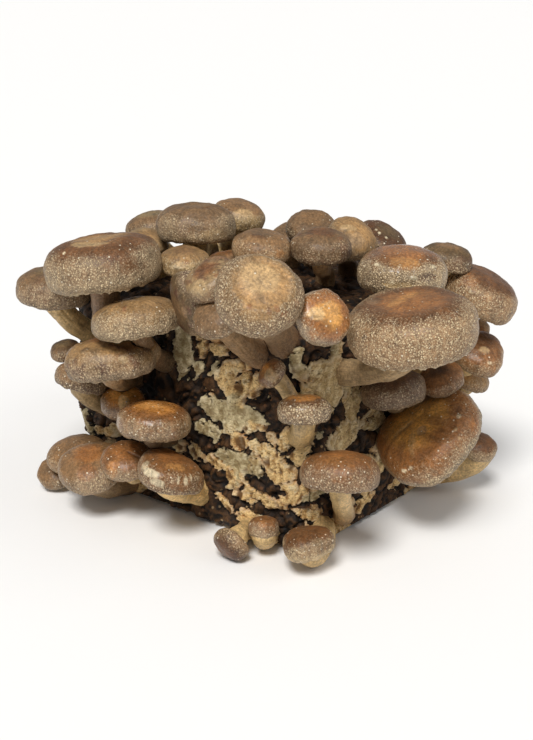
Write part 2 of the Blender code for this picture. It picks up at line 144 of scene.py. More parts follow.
# ---- the mushrooms' places, as they are built in the solids ----------------------------------------------------
# name, middle of the cap's widest circle, lean, heading, radius, thickness, foot, stem radius, bends below the cap and
# above the foot, waves of the rim as (count, depth, direction)
MUSHROOMS = [
    # upper left and left side
    ("upper_left_broad", (-24, -102, 137), 8, -175, 29.3, 0.42, (-44, -75, 96), 7.5, (0.38, 0.36), ((2, 0.02, 30),)),
    ("far_left", (-63, -100, 118), 4, -6, 19.4, 0.42, (-61, -75, 88), 6.5, (0.28, 0.12), ((3, 0.03, 40),)),
    ("left_shelf_high", (0, -104, 114), 10, 174, 21.2, 0.40, (-9, -75, 83), 5.0, (0.22, 0.15), ((2, 0.03, 0), (3, 0.02, 90))),
    ("left_shelf_mid", (-15, -108, 91), 9, 160, 22.3, 0.42, (-32, -75, 70), 6.0, (0.25, 0.24), ((3, 0.03, 10),)),
    ("left_bud", (-67, -91, 81), 16, -84, 8.0, 0.50, (-64, -75, 76), 3.0, (0.38, 0.36), ()),
    ("left_tucked", (-48, -97, 71), 16, 70, 14.9, 0.42, (-52, -75, 50), 5.5, (0.24, 0.12), ()),
    ("left_glossy_small", (-24, -92, 62), 18, -51, 11.6, 0.45, (-31, -75, 48), 5.0, (0.38, 0.36), ()),
    ("left_glossy_front", (6, -100, 61), 6, 95, 18.4, 0.42, (-7, -75, 44), 6.0, (0.30, 0.31), ((2, 0.02, 0),)),
    # foot of the left side
    ("foot_left_outer", (-62, -91, 22), 9, -96, 16.4, 0.42, (-51, -75, 22), 6.0, (0.32, 0.38), ()),
    ("foot_left_rear", (-75, -95, 10), 32, -74, 10.6, 0.45, (-58, -75, 10), 4.5, (0.38, 0.36), ()),
    ("foot_left_thick", (-35, -106, 27), 17, -77, 17.5, 0.42, (-42, -75, 8), 8.0, (0.34, 0.26), ((3, 0.03, 60),)),
    ("foot_left_inner", (-12, -103, 36), 19, -57, 13.2, 0.42, (-23, -75, 19), 5.0, (0.36, 0.29), ()),
    ("foot_left_kidney", (17, -102, 37), 16, 51, 17.0, 0.45, (13, -75, 17), 7.0, (0.24, 0.12), ((2, 0.04, 20), (3, 0.07, -100))),
    # top, left to right
    ("top_left_rear", (-53, -37, 141), 13, -137, 14.6, 0.42, (-54, -21, 114), 5.0, (0.38, 0.36), ()),
    ("top_left_small", (-37, -57, 138), 20, -17, 11.2, 0.42, (-46, -39, 114), 5.0, (0.38, 0.36), ()),
    ("top_left_crown", (-13, -46, 149), 3, 119, 20.1, 0.45, (-51, 6, 114), 6.0, (0.38, 0.36), ((2, 0.03, 0),)),
    ("top_rear_crown", (-13, -11, 148), 14, 7, 14.0, 0.45, (-53, 26, 114), 5.5, (0.38, 0.36), ()),
    ("top_left_ochre", (3, -72, 137), 8, -42, 12.5, 0.45, (-16, -46, 114), 5.0, (0.38, 0.36), ()),
    ("top_reddish", (13, -51, 133), 10, -153, 12.2, 0.45, (5, -30, 114), 5.0, (0.38, 0.36), ()),
    ("top_centre", (32, -47, 144), 6, 0, 14.8, 0.45, (9, -15, 114), 5.5, (0.45, 0.27), ()),
    ("top_dome", (20, 10, 142), 23, -54, 13.4, 0.45, (0, 40, 114), 5.0, (0.49, 0.21), ()),
    ("top_dome_left", (0, 17, 133), 28, -78, 10.7, 0.45, (-5, 25, 114), 4.5, (0.38, 0.36), ()),
    ("top_golden_stem", (54, -27, 144), 9, -40, 14.9, 0.45, (30, 10, 114), 4.5, (0.38, 0.36), ((2, 0.03, 0),)),
    ("top_pale", (53, 1, 143), 40, -5, 13.8, 0.42, (28, 35, 114), 5.0, (0.38, 0.36), ((2, 0.05, 0),)),
    ("top_dark_rear", (53, 28, 137), 30, 6, 14.3, 0.42, (44, 46, 114), 5.0, (0.38, 0.36), ()),
    ("right_rear_high", (95, 26, 134), 8, 37, 13.5, 0.45, (67, 50, 114), 5.0, (0.25, 0.52), ()),
    # shoulder over the front corner
    ("centre_broad", (91, -121, 146), 41, -38, 19.2, 0.42, (65, -72, 111), 7.0, (0.37, 0.32), ((3, 0.02, 0),)),
    ("centre_glossy", (108, -98, 134), 62, -19, 12.8, 0.45, (78, -52, 112), 6.0, (0.38, 0.36), ()),
    ("shoulder_leaning", (47, -101, 141), 28, -113, 13.8, 0.42, (17, -53, 114), 5.5, (0.26, 0.31), ((2, 0.05, 0),)),
    ("shoulder_sideways", (24, -91, 124), 99, -119, 15.8, 0.40, (24, -75, 107), 5.0, (0.37, 0.36), ()),
    ("shoulder_grey", (55, -106, 127), 38, -92, 12.6, 0.42, (52, -75, 100), 7.0, (0.38, 0.36), ()),
    # right side
    ("right_broadest", (127, -55, 122), 7, -132, 30.4, 0.43, (82, -41, 88), 8.5, (0.28, 0.21), ((2, 0.02, 0),)),
    ("right_glossy_torn", (94, -14, 135), 2, 45, 21.8, 0.45, (71, 18, 114), 7.0, (0.38, 0.36), ((3, 0.03, 0),)),
    ("far_right", (108, 39, 115), 27, 30, 21.2, 0.45, (82, 63, 101), 7.0, (0.38, 0.36), ((2, 0.04, 0),)),
    ("right_bud", (96, 62, 88), 73, -61, 5.7, 0.60, (82, 64, 76), 3.0, (0.38, 0.36), ()),
    ("right_outer_mid", (112, 33, 85), 29, -25, 14.1, 0.45, (82, 38, 72), 6.0, (0.36, 0.30), ((3, 0.06, 30),)),
    ("right_outer_low", (98, 50, 63), 17, 47, 11.6, 0.42, (82, 50, 52), 4.5, (0.38, 0.36), ()),
    ("right_shaded", (99, -26, 78), 10, -157, 16.2, 0.45, (82, -5, 67), 6.0, (0.28, 0.24), ()),
    ("right_shaded_small", (111, -1, 80), 29, -95, 11.3, 0.45, (82, 21, 71), 5.0, (0.24, 0.20), ()),
    ("right_heart", (111, -11, 52), 38, -118, 28.5, 0.38, (82, 8, 30), 8.0, (0.38, 0.36), ((2, 0.02, 0), (3, 0.06, 200))),
    ("right_stout_stem", (108, 46, 27), 14, -18, 10.3, 0.50, (82, 34, 12), 8.5, (0.38, 0.36), ()),
    # front corner and its foot
    ("front_bent", (74, -91, 99), 51, -118, 7.2, 0.50, (75, -75, 79), 4.0, (0.38, 0.36), ()),
    ("front_ringed", (93, -91, 85), 8, 132, 12.2, 0.48, (77, -74, 62), 5.5, (0.30, 0.20), ()),
    ("front_speckled", (104, -77, 52), 13, 118, 18.3, 0.45, (82, -41, 11), 5.5, (0.14, 0.06), ((2, 0.03, 0),)),
    ("foot_front_sideways", (56, -100, 9), 121, -96, 9.3, 0.50, (47, -74, 6), 5.0, (0.37, 0.37), ()),
    ("foot_front_pair", (66, -87, 16), 10, 129, 7.6, 0.60, (59, -74, 6), 6.0, (0.37, 0.29), ()),
    ("foot_front_lobed", (92, -86, 15), 11, -161, 12.5, 0.50, (82, -59, 9), 6.0, (0.36, 0.34), ((3, 0.08, 0),)),
    # the two sides away from the front
    ("back_high", (-50, 104, 100), 15, 112, 25.5, 0.42, (-40, 75, 88), 6.5, (0.38, 0.36), ((2, 0.04, 30), (3, 0.02, 200))),
    ("back_high_inner", (-2, 106, 95), 19, 70, 21.0, 0.42, (-5, 75, 84), 6.0, (0.38, 0.36), ((3, 0.03, 80),)),
    ("back_right_small", (31, 95, 82), 24, 48, 14.5, 0.45, (28, 75, 70), 5.0, (0.38, 0.36), ((2, 0.04, 0),)),
    ("back_low", (-55, 100, 57), 22, 118, 18.5, 0.44, (-48, 75, 46), 6.0, (0.38, 0.36), ((2, 0.05, 60),)),
    ("back_low_broad", (6, 106, 53), 16, 84, 25.0, 0.40, (6, 75, 42), 7.0, (0.38, 0.36), ((2, 0.03, 10), (3, 0.03, 250))),
    ("rear_left_corner", (-104, 60, 97), 20, 150, 18.5, 0.44, (-82, 56, 84), 6.0, (0.38, 0.36), ((3, 0.03, 120),)),
    ("rear_left_high", (-108, 14, 92), 14, 186, 24.0, 0.42, (-82, 14, 78), 6.5, (0.38, 0.36), ((2, 0.03, 100),)),
    ("rear_left_low", (-108, 45, 52), 24, 166, 21.0, 0.42, (-82, 40, 40), 7.0, (0.38, 0.36), ((2, 0.04, 70), (3, 0.03, 0))),
    ("rear_left_small", (-98, 4, 46), 26, 196, 12.0, 0.46, (-82, 4, 36), 4.5, (0.38, 0.36), ()),
    ("back_foot_bud", (-24, 91, 28), 30, 110, 11.0, 0.52, (-20, 75, 20), 4.5, (0.38, 0.36), ()),
]

# tones (0-255) that the caps, stems and marks take
# the grey-brown tone of (90, 70, 50) stands for painted shade on some stems and on the right_shaded cap, and for a
# plain dark brown on other caps and marks
TONES = {
    "umber": (80, 50, 30), "bark": (100, 65, 40), "chestnut": (120, 80, 50), "russet": (140, 92, 54), "amber":
    (170, 115, 62), "gold": (195, 142, 80), "honey": (188, 148, 98), "dark_brown_and_shade": (90, 70, 50), "cocoa": (110, 85, 65),
    "brown": (125, 95, 70), "drab": (125, 105, 80), "fawn": (140, 110, 80), "dun": (145, 120, 95), "tan": (160,
    125, 90), "oat": (160, 135, 105), "sand": (175, 150, 115), "straw": (180, 150, 105), "biscuit": (195, 165,
    120), "cream": (220, 185, 130), "bone": (210, 190, 155), "meal": (230, 215, 180),
}

# how each one looks, where it differs from the plain brown kind. crown, mid and rim are its tones (names in TONES) from
# the middle of the cap outwards; core and edge are where one gives way to the next (0 crown, 1 widest circle, 1.6
# rolled lip) and soft how gradually; box is
# how square-shouldered the cap is, dish how far its middle is sunk and flat how wide that is,
# ridge the height of a ring round the crown at ridge_at;
# marks its own dents and patches, a few pale ones being painted highlights (turn, place along the skin, half width and
# half length in mm, rise, tone, share); lumpy and folds are its swells and the rim's folds; frost the pale meal on the
# rim; fringe the torn veil; patch dark scales; gloss a wet shine;
# dots white flecks; girth how thick the stem is; lip the painted shade (below 1) and painted light (above 1) on the
# underside of the rim; gill, stalk and heel the tones below, some stalks and heels darkened as painted shade, and foot
# how far the stem spreads at the block
LOOKS = {
    "*": dict(crown="brown", mid="brown", rim="oat", core=0.45, edge=0.98, box=2.4, dish=0.0, flat=0.5, lumpy=1.0,
         folds=0.8, frost=0.6, fringe=0.45, patch=0.0, gloss=0.1, dots=0.15, soft=0.15, ridge=0.0, ridge_at=0.7,
         marks=(), gill="bone", stalk="biscuit", heel="tan", foot=0.28, lip=0.8, girth=1.0),
    # upper_left_broad: its stalk and heel tones are darkened as painted shade, the stem lying under the cap
    "upper_left_broad": dict(crown="tan", mid="bark", rim="oat", core=0.42, edge=0.98, box=2.6, dish=0.12, flat=0.5,
         folds=0.45, frost=0.8, fringe=1.0, dots=0.35, marks=((20, 0.49, 9.0, 5.0, -1.0, "straw", 0.7), (358, 0.83, 0.9,
         0.9, 0.3, "meal", 0.9), (91, 0.89, 1.5, 1.2, 0.3, "umber", 0.7), (99, 0.97, 1.2, 1.0, 0.3, "umber", 0.6), (81,
         0.94, 1.0, 0.8, 0.3, "bark", 0.5)), soft=0.16, stalk="brown", heel="cocoa", lip=0.86),
    "far_left": dict(crown="drab", mid="cocoa", rim="dun", patch=0.35, stalk="biscuit", marks=((212, 0.97, 1.6, 1.4,
         0.2, "bark", 0.6), (220, 1.0, 1.2, 1.0, 0.2, "bark", 0.6), (230, 0.85, 1.3, 1.2, 0.2, "bark", 0.5), (191, 0.92,
         1.4, 1.2, 0.2, "bark", 0.5), (223, 1.13, 1.2, 1.4, 0.0, "bark", 0.5)), heel="biscuit"),
    # left_shelf_high: its stalk and heel tones are darkened as painted shade, the stem lying under the cap
    "left_shelf_high": dict(crown="fawn", mid="fawn", rim="oat", patch=0.3, fringe=1.0, frost=0.9, stalk="brown",
         marks=((32, 0.7, 1.4, 2.4, 0.3, "chestnut", 0.85), (93, 0.57, 6.0, 4.0, 0.8, None, 0.0), (51, 0.99, 1.0, 1.0,
         0.2, "bark", 0.5), (26, 1.04, 1.0, 1.0, 0.2, "bark", 0.4)), heel="dark_brown_and_shade", dots=0.25, lip=0.9),
    "left_shelf_mid": dict(crown="chestnut", mid="fawn", rim="dun", patch=1.0, gloss=0.25, folds=1.1, lumpy=1.3,
         stalk="fawn", marks=((17, 0.97, 2.0, 2.0, 0.2, "bark", 0.7), (24, 0.76, 2.4, 2.0, 0.2, "dark_brown_and_shade", 0.6), (45, 0.81,
         2.6, 2.2, 0.2, "dark_brown_and_shade", 0.6), (83, 0.98, 4.2, 4.0, 0.0, "chestnut", 0.45), (83, 0.98, 2.4, 2.2, 0.3, "biscuit",
         0.65), (113, 0.95, 1.5, 1.5, 0.2, "bark", 0.6), (113, 0.7, 10.0, 3.5, -1.2, "chestnut", 0.5)), heel="cocoa"),
    "left_bud": dict(crown="oat", mid="cocoa", rim="fawn", patch=0.5, marks=((327, 0.71, 1.2, 1.2, 0.1, "dark_brown_and_shade", 0.5),
         (299, 0.9, 1.0, 1.0, 0.1, "dark_brown_and_shade", 0.5))),
    "left_tucked": dict(crown="chestnut", mid="brown", rim="cocoa", dots=0.7, stalk="sand", heel="oat"),
    # left_glossy_small: its cream mark at turn 282 is a painted highlight
    "left_glossy_small": dict(crown="gold", mid="amber", rim="brown", core=0.5, edge=0.85, gloss=0.8, dots=0.7,
         frost=0.25, lumpy=0.6, folds=0.4, fringe=0.3, marks=((282, 0.62, 3.0, 5.0, 0.4, "cream", 0.7),)),
    # left_glossy_front: its gold patch near the crown, at turn 107, is a painted highlight
    "left_glossy_front": dict(crown="amber", mid="chestnut", rim="fawn", core=0.62, edge=0.95, gloss=0.7, dots=0.9,
         frost=0.45, lumpy=0.6, marks=((161, 1.04, 3.0, 3.0, 0.4, "chestnut", 0.5), (114, 1.04, 3.0, 2.0, 0.3,
         "chestnut", 0.4), (107, 0.22, 7.0, 4.0, 0.0, "gold", 0.5)), soft=0.1, stalk="cocoa", heel="dark_brown_and_shade"),
    "foot_left_outer": dict(crown="brown", mid="brown", rim="fawn", dots=0.5, lip=1.15, stalk="fawn", heel="drab"),
    "foot_left_rear": dict(crown="cocoa", mid="brown", rim="dun", lip=1.15),
    "foot_left_thick": dict(crown="russet", mid="brown", rim="dun", gloss=0.3, dots=0.5, stalk="dun", marks=((296, 0.7,
         5.0, 5.0, 0.0, "russet", 0.6), (271, 0.57, 4.0, 5.0, 0.3, None, 0.0)), lip=1.15, heel="fawn"),
    "foot_left_inner": dict(crown="russet", mid="chestnut", rim="dun", gloss=0.35, dots=0.5, marks=((247, 0.86, 3.0,
         6.0, 0.0, "amber", 0.6), (338, 0.45, 1.0, 6.0, -0.8, "umber", 0.5)), lip=1.15),
    # foot_left_kidney: its gold patch at turn 180 is a painted highlight; the meal marks are its frost
    "foot_left_kidney": dict(crown="russet", mid="chestnut", rim="brown", gloss=0.55, dots=0.6, frost=0.7,
         stalk="cream", heel="cream", marks=((135, 0.97, 6.0, 2.2, 0.4, "meal", 0.8), (154, 1.0, 4.0, 2.0, 0.4, "meal",
         0.7), (114, 0.95, 2.5, 3.0, 0.4, "bone", 0.7), (202, 0.97, 1.0, 2.5, 0.3, "meal", 0.7), (187, 0.97, 0.8, 2.0,
         0.3, "meal", 0.7), (213, 0.92, 0.8, 2.0, 0.3, "meal", 0.6), (180, 0.64, 5.0, 2.5, 0.0, "gold", 0.4), (167, 1.0,
         3.0, 3.0, -1.4, None, 0.0)), edge=1.0, soft=0.1, lip=1.0),
    "top_left_rear": dict(crown="drab", mid="cocoa", rim="dun"),
    "top_left_small": dict(crown="fawn", mid="dun", rim="brown", stalk="cream", heel="straw"),
    "top_left_crown": dict(crown="cocoa", mid="cocoa", rim="oat", dish=0.1, flat=0.35, lumpy=1.3, patch=0.12,
         marks=((140, 0.42, 3.0, 1.8, -1.6, "bark", 0.7), (151, 1.04, 1.2, 1.2, 0.2, "chestnut", 0.6), (173, 0.98, 1.0,
         1.0, 0.2, "chestnut", 0.5), (85, 1.04, 3.4, 2.6, 0.4, "dun", 0.4), (96, 0.64, 6.0, 4.0, 0.6, None, 0.0), (133,
         1.13, 7.0, 4.0, 0.0, "biscuit", 0.4)), stalk="biscuit", heel="oat"),
    "top_rear_crown": dict(crown="brown", mid="brown", rim="straw", folds=0.5, gloss=0.2, marks=((227, 0.86, 6.0, 5.0,
         0.0, "biscuit", 0.5),), stalk="bone", heel="cream"),
    "top_left_ochre": dict(crown="brown", mid="fawn", rim="biscuit", patch=0.2, gloss=0.2, marks=((268, 0.86, 1.4, 1.2,
         0.2, "russet", 0.7), (243, 0.98, 4.0, 1.0, 0.3, "bone", 0.5))),
    "top_reddish": dict(crown="chestnut", mid="cocoa", rim="dun", patch=0.7, gloss=0.2),
    "top_centre": dict(crown="cocoa", mid="brown", rim="tan", dots=0.5, marks=((200, 0.45, 4.0, 2.0, 0.3, "umber", 0.6),
         (236, 0.93, 1.0, 1.0, 0.1, "bark", 0.6), (257, 0.99, 3.0, 2.4, 0.0, "amber", 0.5))),
    "top_dome": dict(crown="brown", mid="cocoa", rim="cocoa"),
    "top_dome_left": dict(crown="cocoa", mid="cocoa", rim="cocoa", stalk="sand", heel="dun"),
    "top_golden_stem": dict(crown="bark", mid="cocoa", rim="brown", patch=0.7, lumpy=1.2, fringe=0.7, stalk="tan",
         heel="fawn", marks=((320, 0.69, 2.2, 1.4, 0.3, "bark", 0.7), (294, 0.36, 2.0, 1.2, 0.3, "bark", 0.6), (284,
         0.93, 1.2, 1.2, 0.2, "bark", 0.6), (218, 0.54, 1.6, 1.2, 0.2, "bark", 0.5), (251, 1.0, 1.0, 1.0, 0.2, "cocoa",
         0.5))),
    "top_pale": dict(crown="tan", mid="fawn", rim="dun", folds=1.2, lumpy=1.3, marks=((156, 0.45, 2.0, 5.0, 1.0,
         "biscuit", 0.5), (227, 0.54, 4.0, 5.0, 0.8, "oat", 0.4), (193, 0.81, 2.0, 6.0, -1.0, "drab", 0.4)),
         stalk="cocoa", heel="dark_brown_and_shade"),
    "top_dark_rear": dict(crown="dark_brown_and_shade", mid="umber", rim="fawn", dots=0.6, marks=((208, 0.54, 0.8, 0.8, 0.2, "meal",
         0.8), (177, 0.54, 0.8, 0.8, 0.2, "meal", 0.7), (157, 0.54, 0.7, 0.7, 0.2, "meal", 0.6))),
    "right_rear_high": dict(crown="brown", mid="dark_brown_and_shade", rim="brown", patch=0.5, lumpy=1.3),
    # centre_broad: its stalk and heel tones are darkened as painted shade, the stem lying under the cap
    "centre_broad": dict(ridge=1.1, ridge_at=0.72, soft=0.1, crown="tan", mid="fawn", rim="fawn", core=0.62, edge=0.82,
         box=2.7, patch=0.0, frost=0.85, dots=0.45, lumpy=0.8, folds=0.9, marks=((238, 0.67, 1.1, 1.6, 0.1, "russet",
         0.65), (273, 0.73, 1.1, 2.0, 0.1, "chestnut", 0.7), (288, 0.73, 1.0, 2.0, 0.1, "russet", 0.65), (298, 0.87,
         2.0, 1.4, 0.1, "russet", 0.65), (327, 0.87, 2.0, 1.6, 0.1, "russet", 0.6), (226, 0.83, 1.0, 1.2, 0.0, "cocoa",
         0.5), (206, 0.78, 1.0, 1.6, 0.0, "brown", 0.5), (306, 0.99, 1.6, 1.0, 0.0, "russet", 0.5), (262, 0.93, 1.4,
         1.0, 0.0, "brown", 0.45), (98, 0.14, 9.0, 8.0, 0.0, "biscuit", 0.5), (237, 1.13, 2.0, 1.2, 0.2, "bone", 0.4)),
         stalk="dun", heel="brown"),
    # centre_glossy: its cream patch at turn 166 is a painted highlight
    "centre_glossy": dict(crown="gold", mid="russet", rim="dun", edge=0.95, gloss=0.75, dots=0.5, frost=0.7, lumpy=0.6,
         marks=((166, 0.54, 3.0, 4.0, 0.0, "cream", 0.6), (73, 0.54, 9.0, 0.6, -0.7, "amber", 0.5), (115, 0.36, 9.0,
         0.5, 0.4, "biscuit", 0.4)), soft=0.12),
    "shoulder_leaning": dict(crown="chestnut", mid="dun", rim="brown", patch=0.8, gloss=0.35, lumpy=1.4, folds=1.2,
         marks=((144, 0.12, 7.0, 2.2, -1.2, "bark", 0.8), (125, 0.69, 8.0, 2.4, 0.8, "chestnut", 0.6), (301, 0.45, 1.6,
         1.4, 0.2, "bark", 0.7), (360, 0.69, 1.2, 1.2, 0.2, "chestnut", 0.7), (306, 0.86, 5.0, 4.0, 0.6, "biscuit",
         0.5))),
    "shoulder_sideways": dict(crown="cocoa", mid="dark_brown_and_shade", rim="dun", patch=0.9, lumpy=1.4, folds=1.3, marks=((63, 0.86,
         4.0, 2.0, 0.5, "dark_brown_and_shade", 0.6), (36, 0.62, 4.0, 2.0, -0.8, "dark_brown_and_shade", 0.5), (0, 0.62, 3.0, 2.0, 0.3, "fawn", 0.5))),
    # shoulder_grey: its stalk and heel tones are darkened as painted shade, the stem lying under the cap
    "shoulder_grey": dict(crown="cocoa", mid="cocoa", rim="dun", dots=0.7, stalk="fawn", heel="brown", girth=0.9),
    "right_broadest": dict(crown="russet", mid="bark", rim="tan", core=0.5, edge=0.84, soft=0.1, box=2.7, dish=0.12,
         flat=0.62, frost=0.9, fringe=1.2, gloss=0.35, lumpy=0.7, folds=0.6, dots=0.3, marks=((289, 0.97, 1.2, 2.2, 0.3,
         "brown", 0.75), (300, 0.98, 1.4, 2.2, 0.3, "cocoa", 0.75), (297, 1.0, 1.2, 1.2, 0.2, "cocoa", 0.5), (332, 0.98,
         1.0, 2.6, 0.2, "brown", 0.6), (344, 0.99, 1.0, 1.0, 0.2, "brown", 0.6), (323, 0.98, 0.8, 7.0, -0.9, "fawn",
         0.5), (313, 0.94, 0.8, 5.0, -0.7, "fawn", 0.4), (34, 0.84, 1.6, 1.0, 0.4, "bark", 0.6), (220, 0.14, 12.0, 3.6,
         0.0, "gold", 0.4), (249, 0.57, 4.0, 3.0, 0.0, "fawn", 0.5)), stalk="oat", heel="oat", girth=0.72, lip=0.86),
    # right_glossy_torn: its gold patch at turn 171, on the side facing the camera, is a painted highlight
    "right_glossy_torn": dict(crown="russet", mid="chestnut", rim="oat", core=0.6, edge=0.92, gloss=0.8, dots=0.5,
         frost=0.9, patch=0.3, marks=((166, 1.04, 12.0, 1.6, -0.6, "cream", 0.85), (203, 0.99, 6.0, 2.0, -1.4, "bark",
         0.85), (182, 0.99, 1.6, 1.2, 0.9, "meal", 0.9), (157, 1.0, 1.3, 1.1, 0.8, "meal", 0.85), (128, 0.89, 1.6, 0.9,
         0.9, "meal", 0.9), (216, 0.89, 1.4, 1.0, 0.8, "meal", 0.8), (122, 1.0, 3.0, 4.0, 0.0, "dun", 0.5), (171, 0.76,
         8.0, 5.0, 0.0, "gold", 0.4), (222, 1.04, 2.0, 3.0, 0.4, "sand", 0.6)), soft=0.08),
    "far_right": dict(crown="bark", mid="bark", rim="tan", patch=0.5, gloss=0.45, marks=((180, 0.97, 1.6, 1.4, 0.4,
         "chestnut", 0.7), (203, 0.89, 1.4, 1.4, 0.2, "chestnut", 0.6), (154, 1.39, 2.4, 1.2, -0.6, "cocoa", 0.5), (160,
         0.98, 1.0, 1.0, 0.2, "meal", 0.7), (162, 0.76, 5.0, 4.0, 0.5, None, 0.0), (221, 1.21, 1.0, 1.0, 0.1, "bark",
         0.7), (138, 0.85, 8.0, 4.0, 0.0, "russet", 0.5)), core=0.6, edge=0.86, soft=0.16),
    "right_bud": dict(crown="chestnut", mid="brown", rim="brown"),
    "right_outer_mid": dict(crown="umber", mid="chestnut", rim="tan", gloss=0.4, marks=((255, 0.36, 3.0, 2.0, 0.4,
         "biscuit", 0.5), (222, 0.54, 2.0, 6.0, 0.5, None, 0.0), (263, 0.81, 1.2, 1.0, 0.2, "meal", 0.5))),
    "right_outer_low": dict(crown="brown", mid="tan", rim="tan"),
    # right_shaded: its cap and stem tones are darkened as painted shade, the mushroom lying in shade under
    # right_broadest
    "right_shaded": dict(crown="dark_brown_and_shade", mid="umber", rim="cocoa", core=0.5, edge=0.9, stalk="dark_brown_and_shade", heel="dark_brown_and_shade",
         frost=0.4, dots=0.1),
    "right_shaded_small": dict(crown="umber", mid="chestnut", rim="brown", frost=0.4),
    "right_heart": dict(crown="gold", mid="russet", rim="oat", core=0.55, edge=1.06, frost=0.85, dots=0.35, gloss=0.45,
         box=2.3, folds=0.6, marks=((259, 0.27, 1.8, 9.0, -0.5, "honey", 0.65), (317, 0.49, 2.0, 8.0, 0.4, "honey",
         0.5), (345, 0.35, 3.0, 3.0, -0.8, "dun", 0.55), (28, 0.49, 3.0, 6.0, 0.0, "russet", 0.5), (295, 0.66, 3.0, 5.0,
         0.0, "chestnut", 0.45), (333, 0.79, 5.0, 2.0, 0.0, "chestnut", 0.5), (14, 0.96, 1.0, 1.0, 0.3, "biscuit", 0.6),
         (21, 0.87, 1.2, 1.0, 0.3, "biscuit", 0.6), (41, 0.83, 1.4, 1.0, 0.3, "meal", 0.6), (305, 0.92, 1.3, 1.0, 0.4,
         "meal", 0.8), (313, 0.9, 1.0, 1.0, 0.4, "meal", 0.8)), soft=0.13),
    "right_stout_stem": dict(crown="umber", rim="oat", stalk="biscuit", heel="honey", lip=1.15, mid="bark"),
    "front_bent": dict(crown="amber", mid="chestnut", rim="brown", gloss=0.5, stalk="biscuit", heel="straw", fringe=0.2,
         marks=((348, 0.78, 3.0, 4.0, 0.3, "biscuit", 0.6),)),
    "front_ringed": dict(crown="amber", mid="bark", rim="fawn", core=0.6, edge=0.86, gloss=0.5, dots=1.0, frost=1.0,
         stalk="straw", lumpy=0.6, soft=0.06, heel="straw"),
    "front_speckled": dict(crown="russet", mid="chestnut", rim="brown", edge=1.0, dots=1.0, gloss=0.2, stalk="biscuit",
         lumpy=0.7, marks=((131, 0.89, 3.0, 5.0, 0.0, "bark", 0.5), (84, 0.64, 4.0, 4.0, 0.0, "amber", 0.4)), core=0.5,
         soft=0.12, lip=1.0, heel="tan"),
    "foot_front_sideways": dict(crown="bark", mid="umber", rim="fawn", gloss=0.5, stalk="biscuit", lip=1.15,
         heel="biscuit"),
    "foot_front_pair": dict(crown="chestnut", mid="chestnut", rim="dun", dots=0.7, stalk="biscuit", marks=((82, 0.84,
         2.0, 2.0, 0.2, "amber", 0.5),), lip=1.15, heel="biscuit"),
    "foot_front_lobed": dict(crown="bark", mid="bark", rim="sand", dots=1.0, marks=((10, 1.05, 3.0, 3.0, 0.8, None,
         0.0), (42, 1.0, 3.0, 3.0, 0.8, None, 0.0), (25, 1.0, 1.2, 4.0, -1.6, "cocoa", 0.5)), lip=1.15, stalk="biscuit",
         heel="biscuit"),
    "back_high": dict(crown="fawn", mid="chestnut", rim="oat", dish=0.1, flat=0.4, box=2.7, patch=0.2),
    "back_high_inner": dict(crown="russet", mid="brown", rim="tan", patch=0.5, gloss=0.25),
    "back_low_broad": dict(crown="amber", mid="chestnut", rim="oat", gloss=0.35, core=0.5, edge=0.9, box=2.6,
         frost=0.8),
    "back_low": dict(crown="chestnut", mid="brown", patch=0.3),
    "rear_left_high": dict(crown="fawn", mid="cocoa", rim="oat", dish=0.08, box=2.6, fringe=0.8, patch=0.2),
    "rear_left_low": dict(crown="russet", mid="chestnut", gloss=0.3, dots=0.6),
    "rear_left_corner": dict(crown="chestnut", mid="fawn", patch=0.6),
    "rear_left_small": dict(crown="amber", mid="russet", gloss=0.5, dots=0.7),
    "back_foot_bud": dict(crown="amber", mid="chestnut", dots=0.8),
    "back_right_small": dict(),
}


# ---- the block -------------------------------------------------------------------------------------------------
HALF_X, HALF_Y, HEIGHT = 82.0, 75.0, 114.0


def lumps(p):
    x, y, z = p[:, 0], p[:, 1], p[:, 2]
    a = np.sin(x * 0.058 + 1.3 * np.sin(y * 0.041 + 0.6) + 0.4)
    b = np.sin(y * 0.063 + 1.2 * np.sin(z * 0.052 + 2.0) + 1.9)
    c = np.sin(z * 0.081 + 1.1 * np.sin(x * 0.047 + 4.0) + 3.1)
    d = np.sin(x * 0.128 + 0.9 * np.sin(z * 0.10)) * np.sin(y * 0.117 + 1.4) + np.sin(z * 0.135 + y * 0.07)
    return 0.9 * (a + b + c) + 0.48 * d


